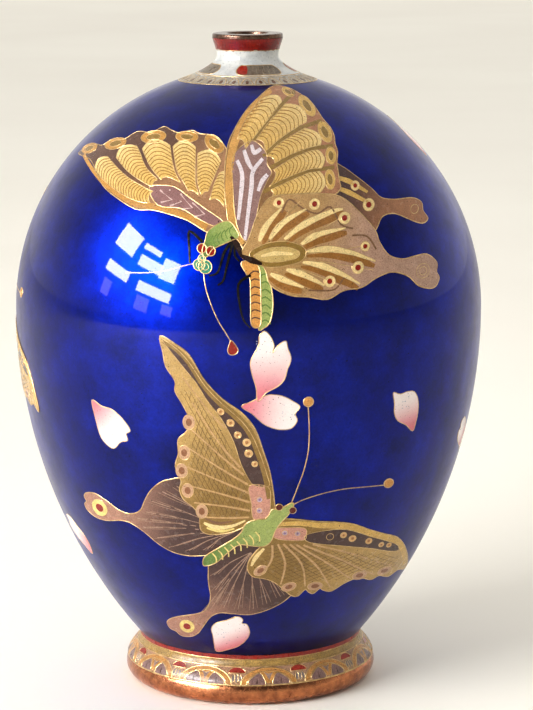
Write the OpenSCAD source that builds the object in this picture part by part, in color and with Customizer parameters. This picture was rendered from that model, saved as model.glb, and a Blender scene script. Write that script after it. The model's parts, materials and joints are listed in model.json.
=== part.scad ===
// Cloisonne vase: copper body, metal lip and foot ring, and enamel cells between wires.
// Origin: middle of the face the foot rests on. +Z up, the front faces -Y. Millimetres.

/* [Body] */
// Diameter at the widest point, the belly
body_d = 107; // [92:1:128]
// Height of the foot, up to the blue enamel
foot_h = 11.4; // [10:0.1:14]
// Rise from the foot to the belly
lower_h = 76; // [62:1:92]
// Rise from the belly to the collar
upper_h = 52; // [43:1:63]
// Rise from the collar to the lip
neck_h = 10.6; // [9:0.1:13]
// Diameter at the top of the foot, where the body starts
waist_d = 52.4; // [43:0.1:60]
// Diameter at the collar, where the body ends
collar_d = 31.8; // [26:0.1:38]

/* [Walls] */
// Thickness of the outer enamel
enamel_t = 1; // [0.8:0.1:1.2]
// Thickness of the copper wall
copper_t = 0.9; // [0.7:0.1:1.1]
// Thickness of the enamel inside and under the foot
lining_t = 0.4; // [0.3:0.05:0.5]
// Width of the wires round the figures
wire_w = 0.4; // [0.3:0.05:0.5]

/* [Neck] */
// Diameter of the neck's waist
neck_d = 14; // [12.4:0.1:17]
// Outer diameter of the lip
lip_d = 16; // [15:0.1:19]
// Height of the metal lip
lip_h = 1.2; // [1:0.1:1.6]
// Height of the lip's flange, inside the neck
flange_h = 3; // [2:0.1:3.6]
// Height of the red band under the lip
red_band_h = 2.6; // [2:0.1:3]
// Rise of the scalloped border round the collar
border_h = 1.6; // [1.2:0.1:2]

/* [Foot] */
// Diameter of the foot ring
foot_d = 58.3; // [55:0.1:70]
// Height of the copper moulding
moulding_h = 4.9; // [4:0.1:5.9]
// Inner diameter of the foot ring
recess_d = 45.6; // [38:0.1:46]
// Depth of the recess under the foot
recess_h = 5; // [4.4:0.1:6]
// Height of the red line at the top of the foot
red_line_h = 1.1; // [0.8:0.1:1.3]
// Height of the fans
fan_h = 3.7; // [3:0.1:4.4]
// Number of fans round the foot
fan_count = 12; // [8:1:14]

/* [Hidden] */

$fn = 144;
body_r = body_d / 2;
waist_r = waist_d / 2;
collar_r = collar_d / 2;
belly_z = foot_h + lower_h;
collar_z = belly_z + upper_h;
vase_h = collar_z + neck_h;

// The body's outline is two arcs that meet, upright, at the belly. Each radius follows
// from the arc's rise and from how far it comes in.
function arc_radius(rise, inset) = (rise * rise + inset * inset) / (2 * inset);
lower_r = arc_radius(lower_h, body_r - waist_r);
upper_r = arc_radius(upper_h, body_r - collar_r);

// Radius of the body at height z
function radius_at(z) =
    let (r = z < belly_z ? lower_r : upper_r)
    body_r - r + sqrt(max(0, r * r - (z - belly_z) * (z - belly_z)));

copper_d = enamel_t;
lining_d = enamel_t + copper_t;
inside_d = enamel_t + copper_t + lining_t;

// ---- The figures ----
// Each figure is drawn as seen from straight in front: [across, height], on a body of the
// drawn sizes below. A point keeps its direction round the body and its share of the rise
// when the body's sizes change.
drawn_belly_r = 53.5;
drawn_belly_z = 87.4;
drawn_rise = [76, 52];
drawn_inset = [27.3, 37.6];

function drawn_radius(z) =
    let (part = z < drawn_belly_z ? 0 : 1)
    let (r = arc_radius(drawn_rise[part], drawn_inset[part]))
    drawn_belly_r - r + sqrt(r * r - (z - drawn_belly_z) * (z - drawn_belly_z));

function height_of(z) =
    belly_z + (z - drawn_belly_z) * (z < drawn_belly_z ? lower_h / drawn_rise[0] : upper_h / drawn_rise[1]);

// A place is [azimuth, lift, side]: where the figure faces, how far it is moved up, and
// -1 where it is mirrored.
// A view is [azimuth, tilt, height]: the direction along which the figure's cells are cut.
function azimuth_of(p, place) =
    place[0] + place[2] * asin(max(-0.995, min(0.995, p[0] / drawn_radius(p[1] + place[1]))));

function in_view(p, place, view) =
    let (z = height_of(p[1] + place[1]))
    let (turn = azimuth_of(p, place) - view[0])
    let (r = radius_at(z))
    [r * sin(turn), (z - view[2]) * cos(view[1]) - r * cos(turn) * sin(view[1])];

// One more point on each stretch of a closed outline, so that its curves read as curves
function softened(pts) =
    let (n = len(pts))
    [for (i = [0:n - 1])
        let (a = pts[(i + n - 1) % n], b = pts[i], c = pts[(i + 1) % n], d = pts[(i + 2) % n])
        each [b, (9 * (b + c) - a - d) / 16]];

function outline(pts, place, view) = [for (p = pts) in_view(p, place, view)];

// A strip of one width along a line of points, for feelers and legs
function strip(pts, w) =
    let (n = len(pts))
    let (side = [for (i = [0:n - 1])
        let (d = pts[min(i + 1, n - 1)] - pts[max(i - 1, 0)])
        w / 2 / norm(d) * [-d[1], d[0]]])
    [for (i = [0:n - 1]) pts[i] + side[i],
     for (i = [n - 1:-1:0]) pts[i] - side[i]];

module cast(view)
    rotate([0, 0, view[0]])
        translate([0, 0, view[2]])
            rotate([90 - view[1], 0, 0])
                linear_extrude(body_d)
                    children();

front = [0, 0, 1];

// A cell's outline, grown or shrunk. The figures on the back have plainer outlines.
module drawn(pts, place, view, grow)
    offset(delta = grow)
        polygon(outline(place == front ? softened(pts) : pts, place, view));

module dot_at(p, r, place, view)
    translate(in_view(p, place, view)) circle(r, $fn = 24);

side_view = [4, 20, 112];
side_left_view = [-42, 30, 118];
open_view = [-12, -6, 50];
open_right_view = [40, -14, 38];

side_forewing_left_pts = [
    [-38, 124], [-34, 126.3], [-32.2, 126.5], [-30, 127.8], [-27, 128.3], [-24, 130],
    [-21, 130], [-18.2, 131.3], [-16.4, 130.7], [-14.5, 130.3], [-12, 130.9], [-10.2, 130.3],
    [-7.5, 130], [-5, 128.3], [-3, 124], [-3, 115], [-6, 110.5], [-9, 111.3], [-12, 113],
    [-15, 114], [-20, 115], [-24, 115], [-29, 117.3], [-31.7, 119.2], [-33.3, 121.7], [-35, 123.6]
];
side_forewing_right_pts = [
    [5.8, 139.2], [3, 137.5], [1, 136], [-1, 133.8], [-2.8, 131], [-4, 128.5], [-4.6, 125],
    [-4.8, 121], [-4.4, 116.5], [-3.7, 112.5], [-1.5, 109], [0, 107.3], [4, 109], [12, 115],
    [19.5, 118.4], [19.8, 121], [19.4, 124], [19.6, 126.3], [19.1, 127.8], [18.9, 129.5],
    [18, 131.2], [16.6, 132.7], [15.3, 134.5], [14, 136], [12, 137.4], [9, 138.8]
];
side_hindwing_near_pts = [
    [2, 114], [3.5, 116.5], [5, 117.9], [8, 118.4], [15, 118.3], [19, 117.9], [22, 116.2],
    [26, 112.2], [27.6, 110], [28.5, 107.6], [30.5, 104.9], [33.5, 103.8], [36, 104],
    [39, 104], [41.3, 101.9], [41.2, 100], [41.8, 98.6], [41, 97], [39.5, 96.8], [37, 97.8],
    [34.5, 100.2], [31, 101.4], [27.5, 100.5], [24.5, 98.9], [20.5, 98.5], [17, 96.9],
    [13, 97.6], [9, 98.1], [5, 100.3], [3.6, 104], [0.5, 105.3], [-1.3, 106.5], [0.5, 110]
];
side_hindwing_far_pts = [
    [18, 124], [20.3, 123.6], [24, 121], [27, 118.6], [29, 116.7], [32, 116], [36, 115.8],
    [38.2, 114.6], [38.5, 112.9], [39.6, 111.2], [38.5, 110.4], [36.5, 111], [33, 112.8],
    [31, 113.3], [29, 112.7], [27, 110], [22, 112], [17, 117]
];
side_thorax_pts = [
    [-3.2, 112.9], [-4.7, 113.2], [-6.6, 112.4], [-8.3, 111], [-8.8, 109.3], [-9.4, 107.4],
    [-9.1, 106.1], [-8.2, 106.2], [-7.3, 107.5], [-5.5, 108.4], [-3.2, 109.4], [-1.6, 110.3]
];
side_belly_pts = [
    [-1.2, 104.9], [0, 102.5], [0.7, 101.3], [0.8, 96], [0.9, 92.3], [1.8, 91.4], [2.9, 92.2],
    [3, 96], [2.9, 101], [2.6, 104], [0.8, 105.3]
];
side_back_pts = [
    [1.6, 105], [2.2, 92], [3.6, 91.4], [4.8, 92.5], [5.4, 94.8], [5.5, 97.3], [5, 100.8],
    [4, 104.5]
];
side_eyes_at = [[-9.5, 107.7], [-7.6, 107.2]];
side_eye_r = 1.2;
side_coils_at = [[-9.5, 105.7], [-10.1, 104.4], [-8.8, 104]];
side_coils_r = [0.8, 1.2, 1.4];
side_feelers = [
    [[-9.3, 105], [-13, 104.2], [-17, 103], [-21, 102.3], [-26, 102]],
    [[-9.2, 103.5], [-8.8, 100], [-7.5, 96], [-6, 92.7], [-4.5, 90.3], [-3.4, 88.4]]
];
side_drop_at = [-3, 86.9];
side_drop_r = 1.1;
side_legs = [
    [[-3.2, 109.4], [-4.8, 107], [-5.5, 104.8], [-6.3, 102.8], [-8, 102.2]],
    [[-3, 109], [-4.2, 104.5], [-5, 101.3], [-6.2, 100.3]],
    [[-9.4, 109], [-12.2, 111.1], [-12.2, 107.5], [-12.1, 104.7]],
    [[-2.4, 110], [-2.6, 106.6], [-1.6, 105.2]],
    [[0.8, 102.4], [-1.8, 100.5], [-1.5, 96], [-0.7, 93], [0.7, 91.4]]
];
side_spots_at = [
    [6.8, 116.8], [14.4, 116.3], [20.8, 113.2], [25.2, 107.2], [23.6, 103], [17.5, 100.6],
    [38, 100.7], [23.3, 119.5], [26.2, 115.5]
];
side_spots_r = [1.1, 1.2, 1.3, 1.05, 1.35, 1.25, 1.4, 0.95, 1.25];

open_forewing_left_pts = [
    [-18.5, 89.2], [-15.3, 87.7], [-12.2, 85.3], [-9.2, 80.2], [-5.3, 76], [-1.2, 73],
    [1.6, 69.3], [3.4, 64], [4.8, 59], [5.6, 53], [5.4, 49], [0.3, 47], [-2.5, 45.5],
    [-5, 44.7], [-8.5, 44.4], [-10.2, 45.3], [-10.5, 47.2], [-10.6, 49], [-12, 51],
    [-14, 52.7], [-14.8, 55], [-14.4, 57], [-15.6, 60.3], [-14.9, 63.3], [-14.9, 66.5],
    [-13.3, 68.2], [-12.1, 70.5], [-13.7, 74.3], [-15.4, 77.3], [-15.4, 79.6], [-17.3, 82.6],
    [-17.9, 85.5]
];
open_forewing_right_pts = [
    [5.5, 47.6], [7.5, 48.2], [11, 47.8], [15, 47], [19, 46.4], [23, 45.3], [27, 43],
    [30, 41.3], [33, 39.5], [34.8, 36.7], [35.9, 33], [36.2, 29.5], [35.6, 27.9],
    [33.8, 29.2], [31.5, 28.5], [29.2, 29.8], [27.4, 29.3], [25.5, 30.3], [23.5, 30.7],
    [21, 29.9], [18.3, 28.4], [16.4, 29], [15.7, 29.6], [14.3, 28.4], [13.2, 28.9],
    [12.4, 29.7], [10.8, 28.1], [9.2, 28.5], [7.3, 30.6], [5.3, 32.4], [3.2, 33.3],
    [1, 33.8], [-0.2, 35.5], [0, 37.6], [1.4, 40], [3, 42]
];
open_hindwing_left_pts = [
    [-14, 57.3], [-17, 57], [-19.2, 56], [-21.3, 53.8], [-22.6, 51.3], [-23.5, 49],
    [-25, 47.8], [-26.8, 47.5], [-29, 48.2], [-31.5, 49.8], [-34, 50.9], [-36, 50.5],
    [-36.6, 49.4], [-36.1, 48.3], [-36.6, 47.4], [-36, 46], [-34, 44.7], [-31.5, 44.6],
    [-28, 45.4], [-25.5, 45], [-22.5, 43.1], [-20, 41], [-17, 39.3], [-14, 38.6],
    [-11, 38.7], [-7.5, 39.6], [-1.5, 43.5], [-0.5, 46.5], [-4.5, 47.5], [-8.5, 50], [-11, 53]
];
open_hindwing_right_pts = [
    [-8.3, 37.7], [-8.9, 34.3], [-8.8, 31], [-8.5, 28.3], [-9, 25.6], [-10.2, 23.8],
    [-12.5, 22.7], [-16, 21.5], [-18, 20.3], [-18.6, 19], [-17.9, 17.5], [-16.6, 16.9],
    [-15.3, 15.8], [-13, 16.1], [-11.4, 17.5], [-10.2, 19.7], [-8.6, 22.4], [-6.5, 23.7],
    [-3.5, 23.6], [0, 23.4], [3, 24.2], [6, 25.6], [8.3, 27.3], [9.4, 29.4], [6, 33.5],
    [2.5, 36], [3, 41.5], [0, 42.8], [-4.5, 40.6]
];
open_body_pts = [
    [-10, 37], [-9.3, 39], [-5.5, 41.8], [-3, 43.6], [-1.5, 45.2], [-0.5, 47.2], [2, 48.3],
    [3.8, 48.4], [5.2, 50.5], [7, 50.7], [9.3, 52], [9.8, 51.3], [8.7, 49.2], [6.9, 47.1],
    [5.8, 45.3], [4.9, 42.8], [3.3, 41.6], [0.5, 41.8], [-2, 42], [-4.5, 40], [-7, 37.4],
    [-9.3, 36.4]
];
open_eyes_at = [[6.7, 51.1], [9.6, 50.2]];
open_eye_r = 0.95;
open_clubs_at = [[13, 75], [30.8, 54]];
open_club_r = 1.05;
open_feelers = [
    [[9.3, 51.7], [10.6, 55.2], [12.1, 59.6], [13, 64], [13.2, 68], [13.1, 71.3], [12.9, 74.5]],
    [[9.7, 51.4], [12, 52.5], [16, 53.6], [20.5, 54.2], [25, 54.1], [30.3, 53.7]]
];
open_spots_at = [
    [-33, 47.5], [-14, 19], [-5.7, 73.2], [-3.6, 70.7], [-2.1, 68], [-0.2, 66.3], [0.2, 63.8],
    [1.5, 61.4]
];
open_spots_r = [1.8, 1.75, 0.75, 0.8, 0.75, 0.85, 0.85, 0.65];

petal_1_pts = [
    [2.2, 75.4], [1.9, 78.3], [1.2, 80.8], [0.7, 83], [0.9, 84.8], [2.4, 87.6], [2.6, 89.6],
    [3.7, 90.7], [4.9, 89.6], [5.7, 87.6], [5.4, 86], [6.6, 87.6], [8.2, 88.5], [8.6, 86.9],
    [9.3, 84.6], [8.5, 82.3], [7.9, 80.2], [6.5, 78.7], [4, 77.3]
];
petal_2_pts = [
    [-1.3, 74.3], [0.8, 75.4], [2.7, 76.3], [5, 76.9], [7.5, 76.5], [9.7, 75.3], [11.2, 74],
    [10.2, 72.5], [10.6, 70.9], [9.4, 69.3], [7.5, 69], [5.5, 69.4], [3.3, 70.5], [1, 72.7]
];
petal_3_pts = [
    [36, 65.5], [36.7, 67.3], [37.2, 70], [37.1, 72.7], [36.2, 74.6], [34.6, 74.9],
    [33, 74.6], [31.5, 75.2], [31.8, 72.7], [31.8, 70.5], [32.6, 68.6], [34.5, 67.2]
];
petal_4_pts = [
    [-7.4, 12.2], [-8, 14.5], [-8.2, 17], [-8.5, 19], [-7.5, 20.7], [-5, 21.7], [-2.6, 22.8],
    [-1.4, 22], [-1.6, 20.9], [-0.5, 20.6], [0.1, 18.2], [-0.6, 16.3], [-2.3, 14.3],
    [-4.8, 13]
];
petal_5_pts = [
    [-33.9, 73.3], [-31.7, 72.3], [-29.5, 71.9], [-27.7, 70.7], [-26.1, 68.9], [-25.4, 67.5],
    [-26.3, 66.7], [-26, 65.2], [-27.6, 64.6], [-29.2, 62.9], [-31, 63.8], [-32.2, 65.5],
    [-33, 68.5]
];
// A petal drawn on the front's centre line, for those that are not seen from the front
loose_petal_pts = [
    [0.3, 33.5], [-2, 34.8], [-4.6, 36], [-6.8, 37.6], [-7.4, 39.2], [-6.4, 40], [-6.8, 41.2],
    [-5, 42], [-3.4, 41.7], [-1, 40], [1, 38.4], [1.8, 36.5], [1.3, 34.6]
];
petals = [petal_1_pts, petal_2_pts, petal_3_pts, petal_4_pts, petal_5_pts, loose_petal_pts,
    loose_petal_pts];
petal_places = [front, front, front, front, front, [-62, 0, 1], [84, 89, -1]];
petal_views = [[5, 0, 83], [5, -5, 73], [40, -8, 70], [-10, -35, 18], [-35, -8, 68],
    [-65, -18, 38], [86, 40, 127]];
back_petal_places = [[78, 22, 1], [118, 4, -1], [176, -4, 1], [-138, -2, -1], [150, 86, 1],
    [-168, 88, -1]];

// Where the two butterflies on the back face, and the views that cut them
back_side = [146, -30, -1];
back_side_view = [142, -4, 82];
back_side_left_view = [178, 4, 90];
back_open = [-109, 39, 1];
back_open_view = [-122, 4, 89];
back_open_right_view = [-72, 2, 77];

// The side-view butterfly's cells, from the one that lies in front to the one behind all
THORAX = 0;
EYES = 1;
PROBOSCIS = 2;
SPOTS = 3;
NEAR = 4;
RIGHT = 5;
FAR = 6;
BELLY = 7;
BACK = 8;
DROP = 9;

module side_shape(cell, place, view, grow) {
    if (cell == THORAX) drawn(side_thorax_pts, place, view, grow);
    if (cell == EYES)
        for (p = side_eyes_at) dot_at(p, side_eye_r + grow, place, view);
    if (cell == PROBOSCIS)
        for (i = [0:2]) dot_at(side_coils_at[i], side_coils_r[i] + grow, place, view);
    if (cell == RIGHT) drawn(side_forewing_right_pts, place, view, grow);
    if (cell == SPOTS)
        for (i = [0:len(side_spots_at) - 1])
            dot_at(side_spots_at[i], side_spots_r[i] + grow, place, view);
    if (cell == NEAR) drawn(side_hindwing_near_pts, place, view, grow);
    if (cell == FAR) drawn(side_hindwing_far_pts, place, view, grow);
    if (cell == BELLY) drawn(side_belly_pts, place, view, grow);
    if (cell == BACK) drawn(side_back_pts, place, view, grow);
    if (cell == DROP) dot_at(side_drop_at, side_drop_r + grow, place, view);
}

module side_lines(place, view)
    for (line = concat(side_feelers, side_legs))
        polygon(strip(outline(line, place, view), wire_w));

// The open butterfly's cells, in the same order
BODY = 0;
OPEN_EYES = 1;
OPEN_SPOTS = 2;
OPEN_LEFT = 3;
HIND_LEFT = 4;
HIND_RIGHT = 5;
CLUBS = 6;

module open_shape(cell, place, view, grow) {
    if (cell == BODY) drawn(open_body_pts, place, view, grow);
    if (cell == OPEN_EYES)
        for (p = open_eyes_at) dot_at(p, open_eye_r + grow, place, view);
    if (cell == OPEN_SPOTS)
        for (i = [0:len(open_spots_at) - 1])
            dot_at(open_spots_at[i], open_spots_r[i] + grow, place, view);
    if (cell == OPEN_LEFT) drawn(open_forewing_left_pts, place, view, grow);
    if (cell == HIND_LEFT) drawn(open_hindwing_left_pts, place, view, grow);
    if (cell == HIND_RIGHT) drawn(open_hindwing_right_pts, place, view, grow);
    if (cell == CLUBS)
        for (p = open_clubs_at) dot_at(p, open_club_r + grow, place, view);
}

module open_lines(place, view)
    for (line = open_feelers)
        polygon(strip(outline(line, place, view), wire_w));

// One cell inside its wire, less what lies in front of it
module side_cell(cell, place, view)
    difference() {
        side_shape(cell, place, view, -wire_w / 2);
        if (cell > 0)
            for (i = [0:cell - 1])
                side_shape(i, place, view, wire_w / 2);
    }

module open_cell(cell, place, view)
    difference() {
        open_shape(cell, place, view, -wire_w / 2);
        if (cell > 0)
            for (i = [0:cell - 1])
                open_shape(i, place, view, wire_w / 2);
    }

// The whole figure in one view, out to the outside of its wires
module side_all(place, view) {
    for (i = [THORAX:DROP])
        side_shape(i, place, view, wire_w / 2);
    side_lines(place, view);
}

module open_all(place, view) {
    for (i = [BODY:CLUBS])
        open_shape(i, place, view, wire_w / 2);
    open_lines(place, view);
}

module side_wire_shape(place, view)
    difference() {
        side_all(place, view);
        for (i = [THORAX:DROP])
            side_cell(i, place, view);
    }

module open_wire_shape(place, view)
    difference() {
        open_all(place, view);
        for (i = [BODY:CLUBS])
            open_cell(i, place, view);
    }

// ---- Layers of the body ----
// A layer lies between two depths under the outer surface, and its ends are cut square
// to that surface.
module between(far_from, r, from_angle, to_angle, d0, d1)
    intersection() {
        translate(far_from)
            difference() {
                circle(r - d0, $fn = 720);
                circle(r - d1, $fn = 720);
            }
        polygon([
            far_from,
            far_from + 2 * r * [cos(from_angle), sin(from_angle)],
            far_from + 2 * r * [cos(to_angle), sin(to_angle)]
        ]);
    }

lower_end = -asin(lower_h / lower_r);
upper_end = asin(upper_h / upper_r);

module body_layer(d0, d1) {
    between([body_r - lower_r, belly_z], lower_r, lower_end, 0, d0, d1);
    between([body_r - upper_r, belly_z], upper_r, 0, upper_end, d0, d1);
}

module enamel_shell()
    rotate_extrude($fn = 180)
        body_layer(0, enamel_t);

// ---- Neck ----
// From the collar the outline sweeps in to the waist and flares to the lip. It leaves the
// body along the body's own slope.
neck_r = neck_d / 2;
lip_r = lip_d / 2;
mouth_r = neck_r - inside_d;
waist_z = vase_h - 5;
lip_z = vase_h - lip_h;
sweep = collar_r - neck_r;
sweep_start = [collar_r, collar_z];
sweep_aim = sweep_start + 0.66 * sweep * [-1, 1 / tan(upper_end)];
sweep_turn = [neck_r, waist_z - 1.5];
sweep_end = [neck_r, waist_z];
neck_steps = 12;

function bezier(a, b, c, d, t) =
    pow(1 - t, 3) * a + 3 * t * pow(1 - t, 2) * b + 3 * t * t * (1 - t) * c + pow(t, 3) * d;

function neck_point(t) =
    t <= 1 ? bezier(sweep_start, sweep_aim, sweep_turn, sweep_end, t)
    : bezier(sweep_end, sweep_end + [0, 1.4], [lip_r - 0.25, lip_z - 1.1], [lip_r, lip_z], t - 1);

// A point at depth d under the neck's outer surface
function neck_under(t, d) =
    let (step = 0.01)
    let (along = neck_point(min(2, t + step)) - neck_point(max(0, t - step)))
    let (inward = t == 0 ? -[cos(upper_end), sin(upper_end)] : [-along[1], along[0]] / norm(along))
    neck_point(t) + d * inward;

// Stations along the neck where the bands meet, found by height
function station(z, lo = 0, hi = 2, n = 20) =
    n == 0 ? (lo + hi) / 2
    : let (mid = (lo + hi) / 2)
      neck_point(mid)[1] < z ? station(z, mid, hi, n - 1) : station(z, lo, mid, n - 1);

border_end = station(collar_z + border_h);
red_start = station(lip_z - red_band_h);

module neck_band_shape(t0, t1, d0, d1)
    polygon([
        for (i = [0:neck_steps]) neck_under(t0 + (t1 - t0) * i / neck_steps, d0),
        for (i = [neck_steps:-1:0]) neck_under(t0 + (t1 - t0) * i / neck_steps, d1)
    ]);

module neck_revolve(t0, t1, d0, d1)
    rotate_extrude($fn = 120)
        neck_band_shape(t0, t1, d0, d1);

// ---- Foot ----
// The foot's band swings in from the copper moulding to the top of the foot. It stands a
// small step back from the moulding below it and from the body above it.
step_back = 0.3;
moulding_r = foot_d / 2;
recess_r = recess_d / 2;
band_r = moulding_r - step_back;
foot_neck_r = waist_r - step_back;
foot_steps = 3;
moulding_round = 3.2;
sand_top = foot_h - red_line_h;
fans_top = moulding_h + fan_h;
skirt_r = foot_neck_r - copper_d - copper_t;
// How far the ring's upper wall reaches down into its moulding
root_depth = 0.3;

function foot_band_r(z) =
    let (t = min(1, (z - moulding_h) / (sand_top - moulding_h)))
    foot_neck_r + (band_r - foot_neck_r) * (1 + cos(180 * t)) / 2;

// A ring of the foot's outer enamel between two heights
module foot_band(z0, z1)
    rotate_extrude($fn = 120)
        polygon([
            for (i = [0:foot_steps])
                let (z = z0 + (z1 - z0) * i / foot_steps)
                [foot_band_r(z), z],
            for (i = [foot_steps:-1:0])
                let (z = z0 + (z1 - z0) * i / foot_steps)
                [foot_band_r(z) - enamel_t, z]
        ]);

// The fans stand side by side round the foot. Each is a half ring with two pointed
// windows, and a small cap fills the gap over each joint.
fan_step = 360 / fan_count;
fan_turn = 9;
fan_half = band_r * sin(fan_step * 0.43);
window_half = fan_half * 0.34;
window_h = fan_h * 0.74;
cap_half = fan_half * 0.3;

module fan_shape()
    intersection() {
        scale([fan_half / fan_h, 1]) circle(fan_h, $fn = 24);
        translate([-fan_half, 0]) square([2 * fan_half, fan_h]);
    }

module window_shape()
    for (side = [-1, 1])
        polygon([for (i = [0:8])
            let (t = i / 8)
            [side * fan_half * (0.44 - 0.12 * sin(180 * t)) + window_half * cos(180 * t),
                0.15 + window_h * sin(180 * t)]]);

module cap_shape()
    polygon([for (i = [0:8])
        let (a = 180 * i / 8)
        [cap_half * cos(a), fan_h * 0.62 + fan_h * 0.3 * sin(a)]]);

module round_the_foot(turn)
    for (i = [0:fan_count - 1])
        rotate([0, 0, turn + i * fan_step])
            translate([0, -skirt_r, moulding_h])
                rotate([90, 0, 0])
                    linear_extrude(moulding_r - skirt_r)
                        children();

foot_gap = wire_w / 2;

module fans_cut(grow)
    round_the_foot(fan_turn) offset(delta = grow) fan_shape();

module caps_cut(grow)
    round_the_foot(fan_turn + fan_step / 2) offset(delta = grow) cap_shape();

module foot_ring()
    color("peru")
        rotate_extrude() {
            difference() {
                union() {
                    translate([moulding_r - moulding_round, moulding_round])
                        circle(moulding_round, $fn = 96);
                    translate([recess_r, 0])
                        square([moulding_r - moulding_round - recess_r, moulding_h]);
                    translate([recess_r, moulding_round])
                        square([moulding_r - recess_r, moulding_h - moulding_round]);
                }
                translate([0, moulding_h]) square(moulding_r * 2);
            }
            polygon([
                [recess_r, moulding_h - root_depth],
                for (i = [0:foot_steps])
                    let (z = moulding_h + (foot_h - moulding_h) * i / foot_steps)
                    [foot_band_r(z) - enamel_t, i == 0 ? z - root_depth : z],
                [skirt_r, foot_h],
                [skirt_r, recess_h],
                [recess_r, recess_h]
            ]);
        }

module foot_red_line()
    color("firebrick") foot_band(sand_top + foot_gap, foot_h);

module foot_sand_band()
    color("tan") difference() {
        foot_band(fans_top + foot_gap, sand_top - foot_gap);
        caps_cut(foot_gap);
    }

module foot_frieze()
    color("rosybrown") difference() {
        foot_band(moulding_h + 2 * foot_gap, fans_top - foot_gap);
        fans_cut(foot_gap);
        caps_cut(foot_gap);
    }

module foot_fans()
    color("orange") difference() {
        intersection() {
            foot_band(moulding_h + 2 * foot_gap, fans_top - foot_gap);
            fans_cut(-foot_gap);
        }
        round_the_foot(fan_turn) window_shape();
    }

module foot_windows()
    color("sienna") intersection() {
        foot_band(moulding_h + 2 * foot_gap, fans_top - foot_gap);
        round_the_foot(fan_turn) intersection() {
            window_shape();
            offset(delta = -foot_gap) fan_shape();
        }
    }

module foot_caps()
    color("darkred") intersection() {
        foot_band(moulding_h + 2 * foot_gap, sand_top - foot_gap);
        caps_cut(-foot_gap);
    }

module foot_wires()
    color("goldenrod") {
        foot_band(moulding_h, moulding_h + 2 * foot_gap);
        foot_band(sand_top - foot_gap, sand_top + foot_gap);
        difference() {
            foot_band(fans_top - foot_gap, fans_top + foot_gap);
            caps_cut(foot_gap);
        }
        difference() {
            intersection() {
                foot_band(moulding_h + 2 * foot_gap, fans_top - foot_gap);
                fans_cut(foot_gap);
            }
            fans_cut(-foot_gap);
            caps_cut(foot_gap);
        }
        difference() {
            intersection() {
                foot_band(moulding_h + 2 * foot_gap, sand_top - foot_gap);
                caps_cut(foot_gap);
            }
            caps_cut(-foot_gap);
        }
    }

// ---- Vessel ----
bore_wall_r = mouth_r + lining_t;
flange_z = vase_h - flange_h;
disc_r = skirt_r - copper_t;
disc_top = recess_h + copper_t;
lip_round = 0.4;

// A point on the bottom edge of the body's wall, at depth d
function root_point(d) = [waist_r, foot_h] - d * [cos(lower_end), sin(lower_end)];

module copper_body()
    color("sandybrown") rotate_extrude($fn = 180) {
        body_layer(copper_d, lining_d);
        polygon([
            for (i = [0:2 * neck_steps]) neck_under(i / neck_steps, copper_d),
            [bore_wall_r, lip_z],
            [bore_wall_r, waist_z],
            for (i = [neck_steps - 1:-1:0]) neck_under(i / neck_steps, lining_d)
        ]);
        polygon([
            [disc_r, recess_h],
            [skirt_r, recess_h],
            [skirt_r, foot_h],
            [waist_r, foot_h],
            root_point(copper_d),
            root_point(lining_d),
            [disc_r, foot_h]
        ]);
    }

module base_disc()
    color("chocolate") translate([0, 0, recess_h]) cylinder(r = disc_r, h = copper_t);

module lining_enamel()
    color("lightsteelblue") rotate_extrude($fn = 180) {
        body_layer(lining_d, inside_d);
        polygon([
            for (i = [0:neck_steps]) neck_under(i / neck_steps, lining_d),
            [bore_wall_r, flange_z],
            [mouth_r, flange_z],
            [mouth_r, waist_z],
            for (i = [neck_steps - 1:-1:0]) neck_under(i / neck_steps, inside_d)
        ]);
        polygon([
            [0, disc_top],
            [disc_r, disc_top],
            [disc_r, foot_h],
            root_point(lining_d),
            root_point(inside_d),
            [disc_r - lining_t, foot_h],
            [disc_r - lining_t, disc_top + lining_t],
            [0, disc_top + lining_t]
        ]);
    }

module base_enamel()
    color("steelblue") translate([0, 0, recess_h - lining_t]) cylinder(r = recess_r, h = lining_t);

module mouth_ring()
    color("dimgray") rotate_extrude()
        polygon([
            [mouth_r, flange_z],
            [bore_wall_r, flange_z],
            [bore_wall_r, lip_z],
            [lip_r, lip_z],
            for (i = [0:4])
                [lip_r - lip_round * (1 - cos(22.5 * i)), vase_h - lip_round * (1 - sin(22.5 * i))],
            [mouth_r + lip_round / 2, vase_h],
            [mouth_r, vase_h - lip_round / 2]
        ]);

// Half a wire's width, as a step along the neck
function wire_step(t) = 0.01 * wire_w / 2 / norm(neck_point(t + 0.005) - neck_point(t - 0.005));

edge_wire = 2 * wire_step(0.01);
border_wire = wire_step(border_end);
red_wire = wire_step(red_start);

// Long rounded panels lie round the collar, each with a red end
cartouche_count = 4;
cartouche_turn = 16;
cartouche_span = 50;
cartouche_r = 9.6;
cartouche_half = 1.35;
red_end = 17;

function on_plan(r, a) = r * [sin(a), -cos(a)];

module cartouche_shape()
    polygon([
        for (i = [0:8]) on_plan(cartouche_r + cartouche_half, cartouche_span * (i / 8 - 0.5)),
        for (i = [1:5])
            on_plan(cartouche_r, cartouche_span / 2)
                + cartouche_half * (cos(30 * i) * on_plan(1, cartouche_span / 2)
                    + sin(30 * i) * on_plan(1, cartouche_span / 2 + 90)),
        for (i = [8:-1:0]) on_plan(cartouche_r - cartouche_half, cartouche_span * (i / 8 - 0.5)),
        for (i = [5:-1:1])
            on_plan(cartouche_r, -cartouche_span / 2)
                + cartouche_half * (cos(30 * i) * on_plan(1, -cartouche_span / 2)
                    + sin(30 * i) * on_plan(1, -cartouche_span / 2 - 90))
    ]);

module red_end_shape()
    polygon([[0, 0], for (i = [0:2]) on_plan(2 * cartouche_r, red_end * (i / 2 - 1) - 8)]);

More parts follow.
